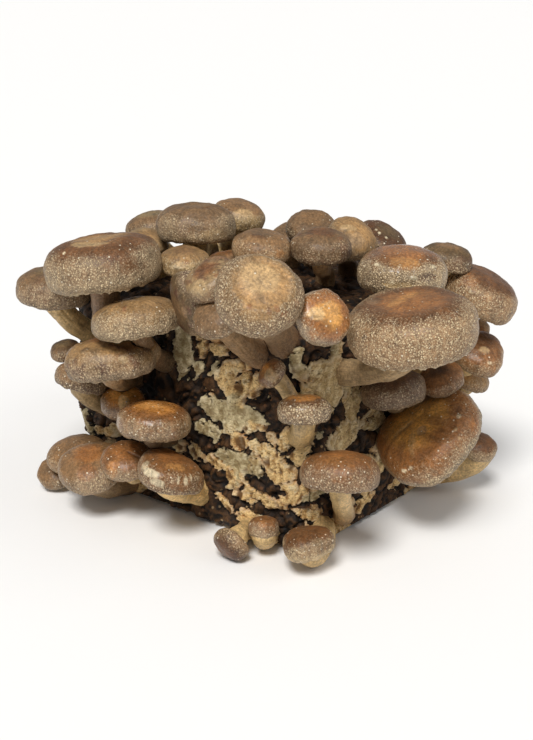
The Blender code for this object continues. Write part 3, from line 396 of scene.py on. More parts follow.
# plates of pale crust on the two sides seen most: kind, side, middle along the side and up it, half width and half
# height in mm, turn in degrees. Kinds: c cream, o olive, g grey down
PLATES = [
    ("c", "L", 41, 84, 13, 9, 0), ("o", "R", -54, 84, 13, 14, 0), ("o", "R", -42, 54, 14, 6, 0), ("c", "L", 42, 53, 6, 5, 30),
    ("c", "L", 58, 51, 11, 4, 15), ("c", "L", 65, 42, 6, 7, 0), ("c", "L", 71, 31, 5, 7, 10), ("c", "L", 24, 36, 7, 4, 0),
    ("c", "L", 36, 32, 9, 5, 20), ("c", "L", 44, 24, 8, 5, 0), ("c", "L", 75, 53, 5, 6, 0), ("c", "R", -42, 12, 11, 4, -25),
    ("c", "R", -24, 10, 10, 3, -25), ("c", "R", -50, 8, 11, 4, -15), ("g", "L", 36, 66, 21, 6, 0), ("g", "L", 38, 41, 13, 5, 0),
    ("g", "R", -63, 29, 8, 3, 0), ("o", "R", -35, 71, 6, 12, 0), ("c", "L", 16, 99, 4, 8, 0), ("g", "L", 2, 91, 7, 12, 0),
    ("c", "L", 28, 97, 6, 4, 0), ("o", "R", -60, 93, 8, 7, 0), ("c", "L", 59, 24, 10, 4, 10), ("c", "L", 30, 16, 7, 3, 20),
    ("c", "R", -65, 20, 7, 4, 0), ("c", "L", 70, 59, 3, 8, 0), ("o", "R", -17, 55, 10, 5, 0), ("g", "R", -6, 41, 8, 9, 0),
    ("c", "L", 47, 10, 8, 4, 15), ("c", "L", 51, 63, 8, 3, -10), ("g", "L", 21, 53, 9, 4, 0), ("c", "L", 10, 38, 5, 5, 0),
    ("o", "L", 75, 79, 6, 6, 0), ("g", "R", -19, 23, 8, 4, 0), ("c", "R", 6, 14, 7, 3, -20), ("g", "L", -13, 20, 6, 5, 0),
    ("g", "L", -71, 35, 6, 8, 0),
]


def plate_field(p, side, rows):
    """How far inside the nearest plate a point is, as a share of the plate's size; the outlines are torn by noise."""
    best, grey = np.full(len(p), -3.0), np.zeros(len(p))
    u = p[:, 0] if side == "L" else p[:, 1]
    z = p[:, 2]
    wu = u + 2.4 * noise(p, 9.0, 3) + 1.6 * noise(p, 3.6, 4) + 0.6 * noise(p, 1.9, 7)
    wz = z + 2.4 * noise(p, 9.0, 5) + 1.6 * noise(p, 3.6, 6) + 0.6 * noise(p, 1.9, 8)
    near = step(0.55, 0.8, -p[:, 1] / HALF_Y if side == "L" else p[:, 0] / HALF_X)
    for kind, where, cu, cz, ru, rz, turn in rows:
        if where != side:
            continue
        a = math.radians(turn)
        du, dz = wu - cu, wz - cz
        x, y = du * math.cos(a) - dz * math.sin(a), du * math.sin(a) + dz * math.cos(a)
        here = 1.15 - np.sqrt((x / ru) ** 2 + (y / rz) ** 2)
        grey = np.where(here > best, {"c": 0.0, "o": 0.55, "g": 1.0}[kind], grey)
        best = np.maximum(best, here)
    return best * near - 3.0 * (1 - near), grey


def box_grid(pitch):
    """Points and quads of a box's skin, each side a grid, with shared edges; the underside is a fan."""
    hx, hy, h = HALF_X, HALF_Y, HEIGHT
    sides = [((hx, -hy, 0), (0, 2 * hy, 0), (0, 0, h)), ((-hx, hy, 0), (0, -2 * hy, 0), (0, 0, h)),
             ((hx, hy, 0), (-2 * hx, 0, 0), (0, 0, h)), ((-hx, -hy, 0), (2 * hx, 0, 0), (0, 0, h)),
             ((-hx, -hy, h), (2 * hx, 0, 0), (0, 2 * hy, 0))]
    count = [round(2 * hx / pitch), round(2 * hy / pitch), round(h / pitch * 1.22)]
    points, quads, base = [], [], 0
    for o, a, b in sides:
        a, b, o = np.array(a, float), np.array(b, float), np.array(o, float)
        na, nb = count[int(np.argmax(abs(a)))], count[int(np.argmax(abs(b)))]
        s, t = np.meshgrid(np.linspace(0, 1, na + 1), np.linspace(0, 1, nb + 1), indexing="ij")
        points.append((o + s.reshape(-1, 1) * a + t.reshape(-1, 1) * b))
        k = np.arange((na + 1) * (nb + 1)).reshape(na + 1, nb + 1) + base
        quads.append(np.stack([k[:-1, :-1], k[1:, :-1], k[1:, 1:], k[:-1, 1:]], -1).reshape(-1, 4))
        base += len(points[-1])
    points, quads = np.vstack(points), np.vstack(quads)
    _, first, back = np.unique(np.round(points * 100).astype(int), axis=0, return_index=True, return_inverse=True)
    points, quads = points[first], back.reshape(-1)[quads]
    low = np.where(points[:, 2] < 1e-6)[0]
    low = low[np.argsort(np.arctan2(points[low, 1], points[low, 0]))]
    fan = np.stack([np.full(len(low), len(points)), np.roll(low, -1), low, low], -1)
    return np.vstack([points, [0, 0, 0]]), np.vstack([quads, fan])


def round_box(p):
    """Moves a box's skin to its rounded form; returns the points and their outward directions."""
    size = np.array([17.0, 17.0, 14.0])
    low = np.array([-HALF_X, -HALF_Y, 0.0]) + np.array([17, 17, 3.0])
    high = np.array([HALF_X, HALF_Y, HEIGHT]) - size
    c = np.clip(p, low, high)
    s = np.where(p[:, 2:3] < c[:, 2:3], np.array([[17.0, 17.0, 3.0]]), size[None, :])
    u = (p - c) / s
    u /= np.maximum(np.linalg.norm(u, axis=1), 1e-6)[:, None]
    out = u / s
    out /= np.maximum(np.linalg.norm(out, axis=1), 1e-9)[:, None]
    return c + s * u, out


def warp(p, size, amount, seed):
    return p + amount * np.stack([noise(p, size, seed), noise(p, size, seed + 1), noise(p, size, seed + 2)], 1)


def make_block():
    pitch = 1.15
    p, quads = box_grid(pitch)
    p, out = round_box(p)
    under = step(0.5, 0.9, -out[:, 2])
    under[-1] = 1.0
    upper = step(0.5, 0.85, out[:, 2])
    p = p + out * (lumps(p) * (1 - under))[:, None]
    big = octaves(p, 19.0, 3, 20)
    bent = warp(p, 12.0, 5.0, 31)
    cleft = step(0.80, 0.98, 1 - np.abs(noise(bent, 12.0, 34)))
    grit = octaves(p, 4.2, 3, 40)
    pale_left, grey_left = plate_field(p, "L", PLATES)
    pale_right, grey_right = plate_field(p, "R", PLATES)
    # plates that nobody placed: many on the two far sides, a few between the placed ones
    stray = octaves(warp(p, 14.0, 6.0, 61), 17.0, 3, 64)
    drift = octaves(p, 30.0, 2, 55)
    front = np.maximum(step(0.55, 0.8, -p[:, 1] / HALF_Y) * (out[:, 1] < -0.5), step(0.55, 0.8, p[:, 0] / HALF_X) * (out[:, 0] > 0.5))
    dim = step(5, -35, p[:, 0]) * (out[:, 1] < -0.5) * step(30, 60, p[:, 2])
    loose = (stray - 0.02 + 0.25 * drift) * 2.4 - 1.3 * upper - 0.42 * front - 0.6 * dim
    plate = np.maximum(np.maximum(pale_left, pale_right), loose)
    # flakes of dark bark that still lie on the plates, and cracks through them
    bark = octaves(warp(p, 11.0, 6.0, 90) * np.array([1.0, 1.0, 1.3]), 10.0, 2, 94)
    plate = np.minimum(plate, (0.40 - bark) * 2.4 + 0.3 * step(0.4, 0.9, plate))
    crack = np.abs(noise(warp(p, 7.0, 2.0, 97), 10.0, 99))
    plate = np.where(plate > 0, plate * step(0.0, 0.07, crack) - 0.05 * (1 - step(0.0, 0.07, crack)), plate)
    edge = step(0.0, 0.07, plate + 0.10 * noise(p, 2.2, 70))
    moat = np.exp(-((plate + 0.03) / 0.11) ** 2)
    wrinkle = 1 - np.abs(noise(bent, 4.6, 72))
    height = 1.0 * big - 2.6 * cleft * (1 - edge) + 0.8 * grit * (1 - 0.6 * edge) + (1.9 * wrinkle - 0.2) * (1 - edge)
    # lip: a band just inside each plate's edge, raised a little here and painted lighter in the material as a highlight
    lip = np.exp(-((plate - 0.14) / 0.07) ** 2)
    pleat = 1 - np.abs(noise(warp(p, 8.0, 3.0, 75) * np.array([1.0, 1.0, 0.62]), 4.4, 78))
    rough = step(0.7, 0.2, np.where(np.maximum(pale_left, pale_right) >= loose, np.where(pale_left >= pale_right, grey_left, grey_right), 0.3))
    height += edge * (0.1 + 0.6 * noise(p, 6, 71) + 0.3 * np.abs(noise(p, 3.4, 73)) + (0.35 + 1.5 * rough) * (pleat - 0.5) + 0.5 * lip) - 2.2 * moat
    p = p + out * (height * (1 - under))[:, None]
    p[:, 2] = np.maximum(p[:, 2], 0.05)
    p[-1] = (0, 0, 0.05)
    wild = step(-0.15, 0.25, octaves(p, 22.0, 2, 80) + 0.25 * step(50, 95, p[:, 2]) - 0.15)
    grey = np.where(pale_left >= pale_right, grey_left, grey_right)
    grey = np.where(np.maximum(pale_left, pale_right) >= loose, grey, wild)
    ob = new_mesh("substrate", p, quads)
    put(ob, "plate", plate)
    put(ob, "grey", grey)
    put(ob, "cleft", cleft)
    put(ob, "upper", upper)
    put(ob, "grit", grit * 0.5 + 0.5)
    put(ob, "wrinkle", wrinkle)
    put(ob, "pleat", pleat)
    put(ob, "lip", lip * edge)
    put(ob, "rough", rough)
    return ob


# ---- meshes and attributes -------------------------------------------------------------------------------------
def new_mesh(name, p, faces):
    """p in mm; faces are quads, or triangles with a repeated last corner."""
    mesh = bpy.data.meshes.new(name)
    p = np.asarray(p, np.float64) * MM
    quad = faces[:, 2] != faces[:, 3]
    sizes = np.where(quad, 4, 3)
    corner = np.ones(faces.shape, bool)
    corner[:, 3] = quad
    loops = faces[corner]
    mesh.vertices.add(len(p))
    mesh.vertices.foreach_set("co", p.astype(np.float32).ravel())
    mesh.loops.add(len(loops))
    mesh.loops.foreach_set("vertex_index", loops.astype(np.int32))
    mesh.polygons.add(len(faces))
    starts = np.concatenate([[0], np.cumsum(sizes)[:-1]])
    mesh.polygons.foreach_set("loop_start", starts.astype(np.int32))
    mesh.update(calc_edges=True)
    mesh.validate()
    mesh.shade_smooth()
    ob = bpy.data.objects.new(name, mesh)
    bpy.context.scene.collection.objects.link(ob)
    return ob


def put(ob, name, values):
    values = np.asarray(values, np.float32)
    kind = "FLOAT" if values.ndim == 1 else "FLOAT_VECTOR"
    layer = ob.data.attributes.new(name, kind, "POINT")
    layer.data.foreach_set("value" if kind == "FLOAT" else "vector", values.ravel())


# ---- mushroom shape --------------------------------------------------------------------------------------------
ROOT = 5.0
WARM, PALE = (1.0, 0.97, 0.76), (1.0, 0.99, 0.88)


def unit(v):
    v = np.asarray(v, float)
    return v / np.linalg.norm(v)


def axes_of(row):
    lean, head = math.radians(row[2]), math.radians(row[3])
    n = np.array([math.sin(lean) * math.cos(head), math.sin(lean) * math.sin(head), math.cos(lean)])
    e1 = np.cross([0, 0, 1.0], n)
    e1 = unit(e1) if np.linalg.norm(e1) > 1e-3 else np.array([1.0, 0, 0])
    return n, e1, np.cross(n, e1)


def waves_of(row, a):
    f = np.ones_like(a)
    for count, depth, to in row[9]:
        f += depth * np.cos(count * (a - math.radians(to)))
    return f


def bend(p0, p1, p2, p3, s):
    s = s[:, None]
    r = 1 - s
    p = r**3 * p0 + 3 * r * r * s * p1 + 3 * r * s * s * p2 + s**3 * p3
    d = 3 * r * r * (p1 - p0) + 6 * r * s * (p2 - p1) + 3 * s * s * (p3 - p2)
    return p, d / np.linalg.norm(d, axis=1)[:, None]


block_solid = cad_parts["substrate_block"].data
skin = BVHTree.FromPolygons([v.co / MM for v in block_solid.vertices], [tuple(f.vertices) for f in block_solid.polygons])

SHELL = [(0.0, 1.0, 1), (0.52, 0.95, 1), (0.88, 0.60, 1), (1.0, -0.15, 0), (0.88, -1.0, 0), (0.0, -1.0, 0)]


def plan(row):
    """Measures of one mushroom: its frame, its stem's line and its plain outline, for building and for pressing."""
    name, cap, lean, heading, radius, thick, foot, stem, bends, waves = row
    n, e1, e2 = axes_of(row)
    c, foot = np.array(cap, float), Vector(foot)
    at, out, _, _ = skin.find_nearest(foot)
    foot, out = np.array(at), np.array(out)
    body = radius * thick
    p0 = c - n * 0.45 * 0.75 * body
    length = np.linalg.norm(p0 - foot)
    ctrl = (p0, p0 - n * length * bends[0], foot + out * length * bends[1], foot)
    line, _ = bend(*ctrl, np.linspace(0, 1, 10))
    return {"row": row, "n": n, "e1": e1, "e2": e2, "c": c, "R": radius, "H": 1.25 * body, "D": 0.75 * body, "foot": foot,
            "out": out, "ctrl": ctrl, "length": length, "line": line, "stem": stem}


def press(p, other, margin=0.25):
    """Pushes points out of another mushroom, so two that meet look squeezed together."""
    c, n = other["c"], other["n"]
    q = p - c
    reach = max(other["R"] * 1.1, other["H"]) + 2
    near = np.where(np.einsum("ij,ij->i", q, q) < reach * reach)[0]
    if len(near):
        q = q[near]
        z = q @ n
        flat = q - z[:, None] * n
        r = np.linalg.norm(flat, axis=1)
        turn = np.arctan2(flat @ other["e2"], flat @ other["e1"])
        w = waves_of(other["row"], turn)
        shell = [(a * other["R"], b * (other["H"] if up else other["D"])) for a, b, up in SHELL]
        best, br, bz = np.full(len(q), -1e9), np.zeros(len(q)), np.zeros(len(q))
        for (x0, y0), (x1, y1) in zip(shell[:-1], shell[1:]):
            ex, ey = x1 - x0, y1 - y0
            size = math.hypot(ex, ey)
            nx, ny = -ey / size, ex / size
            d = (r / w - x0) * nx + (z - y0) * ny
            sel = d > best
            best = np.where(sel, d, best)
            br, bz = np.where(sel, nx, br), np.where(sel, ny, bz)
        push = np.maximum(margin - best, 0)
        way = flat / np.maximum(r, 1e-6)[:, None] * br[:, None] + n * bz[:, None]
        p[near] += way * push[:, None]
    line = other["line"]
    mid, size = line.mean(0), np.ptp(line, axis=0).max() + 14
    near = np.where(np.abs(p - mid).max(1) < size)[0]
    if len(near):
        q = p[near]
        best, foot = np.full(len(q), 1e9), np.zeros_like(q)
        for a, b in zip(line[:-1], line[1:]):
            e = b - a
            t = np.clip(((q - a) @ e) / max(e @ e, 1e-9), 0, 1)
            x = a + t[:, None] * e
            d = np.linalg.norm(q - x, axis=1)
            sel = d < best
            best = np.where(sel, d, best)
            foot[sel] = x[sel]
        push = np.maximum(other["stem"] * 1.0 + margin - best, 0)
        way = (q - foot) / np.maximum(best, 1e-6)[:, None]
        p[near] += way * np.minimum(push, 6)[:, None]
    return p


def make_mushroom(m, others, seed):
    row, n, e1, e2, c, R, H, D = m["row"], m["n"], m["e1"], m["e2"], m["c"], m["R"], m["H"], m["D"]
    look = dict(LOOKS.get("*"))
    look.update(LOOKS.get(row[0], {}))
    q = 0.72 if c[1] > 55 or c[0] < -90 else 1.0
    around = int((168 if R > 25 else 120 if R > 16.5 else 88 if R > 11 else 64) * q) // 4 * 4
    top, roll, under, down = [max(4, int(v * q * (1.25 if R > 25 else 1 if R > 16.5 else 0.9 if R > 11 else 0.75))) for v in (36, 14, 7, 22)]
    a = np.arange(around) * 2 * math.pi / around
    power = look["box"]
    prof = []  # share of the radius, height in mm, place along the skin
    for i in range(1, top + 1):
        f = (i / top) ** 0.9 * math.pi / 2
        r, z = math.sin(f) ** (2 / power), math.cos(f) ** (2 / power)
        prof.append((r, z * H, r))
    for i in range(1, roll + 1):
        f = i / roll * math.pi / 2
        prof.append((0.78 + 0.22 * math.cos(f) ** 0.8, -D * math.sin(f) ** 0.8, 1 + 0.6 * i / roll))
    for i in range(1, 4):
        f = i / 3
        prof.append((0.78 - 0.07 * f, -D * (1 - 0.42 * math.sin(f * math.pi / 2)), 1.6 + 0.4 * f))
    inner = m["stem"] * 1.12 / R
    for i in range(1, under + 1):
        f = i / under
        prof.append((0.71 + (inner - 0.71) * f, -D * (0.58 - 0.20 * f), 2 + f))
    prof = np.array(prof)
    r, z, s = [np.repeat(prof[:, k], around).reshape(-1, around) for k in range(3)]
    A = np.broadcast_to(a, r.shape)
    wave = waves_of(row, A)
    # crown: flattened or sunk, with a shoulder
    z = z + look["ridge"] * np.exp(-((r - look["ridge_at"]) / 0.10) ** 2) * (s <= 1)
    z = z - look["dish"] * H * (1 - step(look["flat"] - 0.25, look["flat"] + 0.12, r)) * (s <= 1)
    rad = r * R * (1 + (wave - 1) * step(0.15, 0.8, r) * (1 - 0.5 * (s > 2)))
    x, y = rad * np.cos(A), rad * np.sin(A)
    flat = np.stack([x, y, z], -1).reshape(-1, 3)
    place = flat + seed * 37.0
    sf, rf, af = s.reshape(-1), r.reshape(-1), A.reshape(-1)
    skin_part = (sf <= 1.62)
    # slow swells, pits and fine grain of the cap's skin
    body = octaves(place, R * 0.75, 2, 1) * 0.045 * R * look["lumpy"]
    pits = noise(place, 5.5, 3) * 0.22 * look["lumpy"] + noise(place, 2.4, 4) * 0.13
    rim = step(0.72, 1.0, sf) * (1 - step(1.7, 2.0, sf))
    ring = np.stack([np.cos(af) * R, np.sin(af) * R, sf * 2 + seed], 1)
    folds = noise(ring, 7.0, 6) * 0.55 * rim * look["folds"] + noise(ring, 3.1, 7) * 0.25 * rim
    meal = np.abs(noise(place, 1.7, 8)) * 0.35 * rim * look["frost"]
    lift = (body + pits + folds) * np.where(skin_part, 1, np.clip(1.8 - sf, 0, 1) / 0.2 * 0.8) + meal * skin_part
    nrm = np.stack([np.cos(af) * np.where(sf < 1, rf**3, 1 - step(1.0, 1.6, sf)), np.sin(af) * np.where(sf < 1, rf**3, 1 - step(1.0, 1.6, sf)),
                    np.where(sf < 1, np.sqrt(np.maximum(0.02, 1 - rf**6)), -step(1.0, 1.6, sf))], 1)
    nrm /= np.maximum(np.linalg.norm(nrm, axis=1), 1e-6)[:, None]
    local = flat + nrm * lift[:, None]
    # ragged threads of the veil hanging from the rolled rim
    teeth = np.maximum(0, noise(ring * np.array([1, 1, 0.2]), 1.9, 9) + 0.6 * noise(ring, 4.3, 10)) * 1.9 * look["fringe"]
    hang = np.exp(-((sf - 1.58) / 0.10) ** 2)
    local[:, 2] -= teeth * hang
    local[:, :2] *= (1 - 0.02 * teeth * hang)[:, None]
    # scales: thin raised flakes
    flake = noise(place * np.array([1, 1, 0.6]), 6.5, 12) + 0.45 * noise(place, 2.6, 13)
    scale = step(0.28, 0.42, flake) * look["patch"] * step(0.25, 0.6, sf) * (1 - step(1.2, 1.5, sf))
    local += nrm * (scale * 0.28)[:, None]
    # marks of its own: dents, furrows, dark and pale patches, a few of the pale ones painted highlights
    stains_and_highlights = []
    for turn, along, wide, long_, rise, colour, share in look["marks"]:
        a0 = math.radians(turn)
        k = int(np.argmin(((sf - along) * R) ** 2 + (((af - a0 + math.pi) % (2 * math.pi) - math.pi) * R * 0.8) ** 2))
        away = flat - flat[k]
        across_ = away @ np.array([-math.sin(a0), math.cos(a0), 0.0])
        down_ = np.sqrt(np.maximum(np.einsum("ij,ij->i", away, away) - across_ ** 2, 0))
        d = np.hypot(across_ / wide, down_ / long_) * (1 + 0.22 * noise(place, 3.0, 30) + 0.12 * noise(place, 1.4, 31))
        local += nrm * (rise * np.exp(-1.2 * d * d))[:, None] * skin_part[:, None]
        if colour:
            stains_and_highlights.append((linear(*TONES[colour]), share * step(1.15, 0.8, d) * skin_part))
    # gills: each one a thin blade
    blade = ((np.arange(around) % 2) * 2.0 - 1.0)[None, :].repeat(len(prof), 0).reshape(-1)
    gill = step(2.0, 2.15, sf) * (1 - step(2.75, 3.0, sf))
    local[:, 2] += blade * gill * min(0.9, 0.05 * R + 0.2)
    world = c + local[:, :1] * e1 + local[:, 1:2] * e2 + local[:, 2:3] * n
    # stem
    ctrl = m["ctrl"]
    t = (np.arange(1, down + 1) / down)
    line, run = bend(*ctrl, t)
    side = e1.copy()
    rings, stem_s, stem_pol = [], [], []
    length = m["length"]
    for k in range(down):
        side = unit(side - run[k] * (side @ run[k]))
        other = np.cross(side, run[k])
        tk = t[k]
        mid = line[k] + (run[k] * ROOT * step(0.9, 1.0, tk))
        wide = m["stem"] * (1.12 - 0.20 * step(0, 0.35, tk) + look["foot"] * step(0.6, 1.0, tk) ** 1.5) * look["girth"]
        base = np.stack([np.cos(a), np.sin(a), np.full(around, tk)], 1)
        coord = np.stack([np.cos(a) * m["stem"], np.sin(a) * m["stem"], np.full(around, tk * length)], 1) + seed * 13
        swell = noise(coord, 9.0, 15) * 0.09 * m["stem"] + noise(coord * np.array([1, 1, 0.22]), 2.0, 16) * 0.34 + noise(coord, 1.8, 17) * 0.18
        rr = wide + swell * step(0, 0.15, tk)
        rings.append(mid + rr[:, None] * (np.cos(a)[:, None] * side + np.sin(a)[:, None] * other))
        stem_s.append(np.full(around, 3 + tk))
        stem_pol.append(base)
    world = np.vstack([world] + rings)
    crown = c + n * (H * (1 - look["dish"]) + lift[:around].mean())
    P = np.vstack([crown[None, :], world, line[-1] + run[-1] * (ROOT + 1)])
    rows = len(prof) + down
    for o in others:
        if np.linalg.norm(o["c"] - c) < o["R"] + R + o["length"] * 0.8 + m["length"] * 0.8:
            P = press(P, o)
    P[:, 2] = np.maximum(P[:, 2], 0.15)
    k = 1 + np.arange(rows * around).reshape(rows, around)
    nxt = np.roll(k, -1, axis=1)
    quads = np.stack([k[:-1], k[1:], nxt[1:], nxt[:-1]], -1).reshape(-1, 4)
    fan = np.stack([np.zeros(around, int), k[0], nxt[0], nxt[0]], -1)
    end = len(P) - 1
    tail = np.stack([np.full(around, end), nxt[-1], k[-1], k[-1]], -1)
    faces = np.vstack([fan, quads, tail])
    ob = new_mesh("shiitake_" + row[0], P, faces)
    S = np.concatenate([[0.0], sf, np.concatenate(stem_s), [4.0]])
    # colours: crown to rim, turned by noise so that no ring is even
    drift = noise(place, R * 0.6, 21) * 0.16 + noise(place, R * 0.22, 22) * 0.07
    v = sf + drift * step(0.0, 0.4, sf)
    crown_col, mid_col, rim_col = [linear(*TONES[look[t_]]) * np.array(w) for t_, w in (("crown", WARM), ("mid", WARM), ("rim", (1.0, 1.0, 0.96)))]
    m1 = step(look["core"] - look["soft"] * 1.3, look["core"] + look["soft"] * 1.3, v)[:, None]
    m2 = step(look["edge"] - look["soft"], look["edge"] + look["soft"], v)[:, None]
    col = crown_col * (1 - m1) + mid_col * m1
    col = col * (1 - m2) + rim_col * m2
    dark = linear(84, 50, 36)
    col = col * (1 - 0.75 * scale[:, None]) + dark * 0.75 * scale[:, None]
    # the marks' tones: stains, and on a few caps painted highlights
    for tone, share in stains_and_highlights:
        col = col * (1 - share[:, None]) + tone * share[:, None]
    cream = linear(*TONES[look["gill"]])
    veil = (look["fringe"] * step(1.42, 1.54, sf) * (1 - step(1.66, 1.8, sf)))[:, None] * 0.8
    # painted shade and light: the underside of the rim is darkened where lip is below 1 and lightened where it is above
    # 1
    col = col * (1 + (look["lip"] - 1) * step(1.0, 1.25, sf) * (1 - veil[:, 0]))[:, None]
    col = col * (1 - veil) + linear(226, 208, 172) * veil
    g = step(1.62, 1.95, sf)[:, None]
    col = col * (1 - g) + cream * g
    stem_col = linear(*TONES[look["stalk"]]) * np.array(PALE)
    foot_col = linear(*TONES[look["heel"]]) * np.array(PALE)
    ts = (np.concatenate(stem_s) - 3)[:, None]
    mix = step(0.35, 0.95, ts)
    scol = stem_col * (1 - mix) + foot_col * mix
    col = np.vstack([col[:1], col, scol, scol[-1:]])
    frost = np.concatenate([[0.15], np.where(skin_part, look["frost"] * (0.12 + 0.88 * step(look["edge"] - 0.25, look["edge"] + 0.12, v)), 0.3 * look["frost"]),
                            np.full(down * around, 0.15), [0.1]])
    gloss = np.concatenate([[look["gloss"]], look["gloss"] * (1 - step(look["edge"], look["edge"] + 0.25, v)), np.zeros(down * around + 1)])
    dots = np.concatenate([[look["dots"] * 0.4], look["dots"] * (0.35 + 0.65 * step(0.3, 0.8, sf)) * skin_part, np.zeros(down * around + 1)])
    pol = np.vstack([[0, 0, 0], np.stack([np.cos(af), np.sin(af), sf * 0.25], 1), np.vstack(stem_pol), [0, 0, 0]])
    pol[:, 2] += seed
    put(ob, "along", S)
    put(ob, "tone", col)
    put(ob, "frost", frost)
    put(ob, "gloss", gloss)
    put(ob, "dots", dots)
    put(ob, "spoke", pol)
    return ob


# ---- materials -------------------------------------------------------------------------------------------------
def add(t, kind, inputs=None, **props):
    node = t.nodes.new(kind)
    for key, value in props.items():
        setattr(node, key, value)
    for key, value in (inputs or {}).items():
        s = node.inputs[key]
        if isinstance(value, bpy.types.NodeSocket):
            t.links.new(value, s)
        else:
            s.default_value = value
    return node


def attribute(t, name, vector=False):
    node = add(t, "ShaderNodeAttribute", attribute_name=name)
    return node.outputs["Vector" if vector else "Fac"]


def calc(t, op, *values):
    return add(t, "ShaderNodeMath", dict(enumerate(values)), operation=op).outputs[0]


def ease(t, value, lo, hi, to=0.0, end=1.0):
    n = add(t, "ShaderNodeMapRange", {"Value": value, "From Min": lo, "From Max": hi, "To Min": to, "To Max": end},
            interpolation_type="SMOOTHSTEP")
    return n.outputs["Result"]


def blend_colour(t, share, a, b, how="MIX"):
    n = add(t, "ShaderNodeMix", {0: share}, data_type="RGBA", blend_type=how)
    for slot_, value in ((6, a), (7, b)):
        if isinstance(value, bpy.types.NodeSocket):
            t.links.new(value, n.inputs[slot_])
        else:
            n.inputs[slot_].default_value = (*value, 1.0)
    return n.outputs[2]


def grain(t, where, size, detail=2.0, rough=0.5, twist=0.0):
    """Noise with features of the given size in where's units."""
    return add(t, "ShaderNodeTexNoise", {"Vector": where, "Scale": 1.0 / size, "Detail": detail, "Roughness": rough,
                                         "Distortion": twist}).outputs["Fac"]


def cells(t, where, size, **props):
    return add(t, "ShaderNodeTexVoronoi", {"Vector": where, "Scale": 1.0 / size}, **props)


def in_mm(t):
    place = add(t, "ShaderNodeTexCoord").outputs["Object"]
    return add(t, "ShaderNodeVectorMath", {0: place, "Scale": 1000.0}, operation="SCALE").outputs[0]


def start(name):
    m = bpy.data.materials.new(name)
    m.use_nodes = True
    return m, m.node_tree, m.node_tree.nodes["Principled BSDF"]


def mushroom_material(name, coat):
    m, t, shader = start(name)
    p = in_mm(t)
    spoke = attribute(t, "spoke", True)
    frost, gloss, dots = attribute(t, "frost"), attribute(t, "gloss"), attribute(t, "dots")
    tone = attribute(t, "tone", True)
    mottle = grain(t, p, 7.0, 3.0, 0.6)
    fine = grain(t, p, 1.3, 2.0, 0.6)
    streak = grain(t, spoke, 0.085, 2.0, 0.6)
    # light and dark of the skin
    light = calc(t, "MULTIPLY_ADD", calc(t, "SUBTRACT", mottle, 0.5), 1.5, 1.0)
    light = calc(t, "MULTIPLY", light, calc(t, "MULTIPLY_ADD", calc(t, "SUBTRACT", fine, 0.5), 1.8, 1.0))
    light = calc(t, "MULTIPLY", light, calc(t, "MULTIPLY_ADD", calc(t, "SUBTRACT", streak, 0.5), 0.9, 1.0))
    # fine pale meal in two sizes of grain, dark between the grains
    coarse_meal, fine_meal = cells(t, p, 1.05, feature="F1"), cells(t, p, 0.6, feature="F1")
    some = ease(t, grain(t, p, 4.0, 2.0, 0.6), 0.36, 0.60)
    luck = add(t, "ShaderNodeSeparateColor", {0: coarse_meal.outputs["Color"]}).outputs[0]
    some = calc(t, "MULTIPLY", calc(t, "MULTIPLY_ADD", some, 0.6, 0.4), calc(t, "MULTIPLY_ADD", luck, 0.9, 0.35))
    meal = calc(t, "MULTIPLY", ease(t, coarse_meal.outputs["Distance"], 0.56, 0.20), some)
    meal = calc(t, "MULTIPLY_ADD", ease(t, fine_meal.outputs["Distance"], 0.56, 0.20), 0.40, meal)
    meal_share = calc(t, "MULTIPLY", meal, frost)
    light = calc(t, "MULTIPLY", light, calc(t, "MULTIPLY_ADD", frost, -0.40, 1.0))
    base = add(t, "ShaderNodeVectorMath", {0: tone, "Scale": light}, operation="SCALE").outputs[0]
    base = blend_colour(t, meal_share, base, tuple(linear(232, 208, 168)))
    # white flecks, a few larger than the rest
    fleck = cells(t, p, 2.3, feature="F1")
    chance = add(t, "ShaderNodeSeparateColor", {0: fleck.outputs["Color"]})
    wide = calc(t, "MULTIPLY_ADD", chance.outputs[1], 0.16, 0.05)
    spot = ease(t, calc(t, "SUBTRACT", fleck.outputs["Distance"], wide), 0.05, -0.03)
    spot = calc(t, "MULTIPLY", spot, ease(t, calc(t, "SUBTRACT", chance.outputs[0], calc(t, "SUBTRACT", 1.0, dots)), -0.02, 0.06))
    spot = calc(t, "MULTIPLY", spot, ease(t, dots, 0.02, 0.1))
    base = blend_colour(t, calc(t, "MULTIPLY", spot, 0.85), base, tuple(linear(236, 222, 196)))
    t.links.new(base, shader.inputs["Base Color"])
    rough = calc(t, "MULTIPLY_ADD", gloss, -0.32, 0.50)
    rough = calc(t, "ADD", rough, calc(t, "MULTIPLY", meal_share, 0.2))
    rough = calc(t, "ADD", rough, calc(t, "MULTIPLY_ADD", fine, 0.16, -0.08))
    t.links.new(rough, shader.inputs["Roughness"])
    rise = calc(t, "MULTIPLY", fine, 0.16)
    rise = calc(t, "MULTIPLY_ADD", streak, 0.10, rise)
    rise = calc(t, "MULTIPLY_ADD", meal_share, 0.42, rise)
    rise = calc(t, "MULTIPLY_ADD", spot, 0.35, rise)
    rise = calc(t, "MULTIPLY_ADD", grain(t, p, 0.45, 1.0), 0.05, rise)
    bump = add(t, "ShaderNodeBump", {"Height": rise, "Strength": 1.0, "Distance": 0.001})
    t.links.new(bump.outputs["Normal"], shader.inputs["Normal"])
    shader.inputs["Specular IOR Level"].default_value = 0.38
    if coat:
        shader.inputs["Coat Weight"].default_value = coat
        shader.inputs["Coat Roughness"].default_value = 0.22
    return m


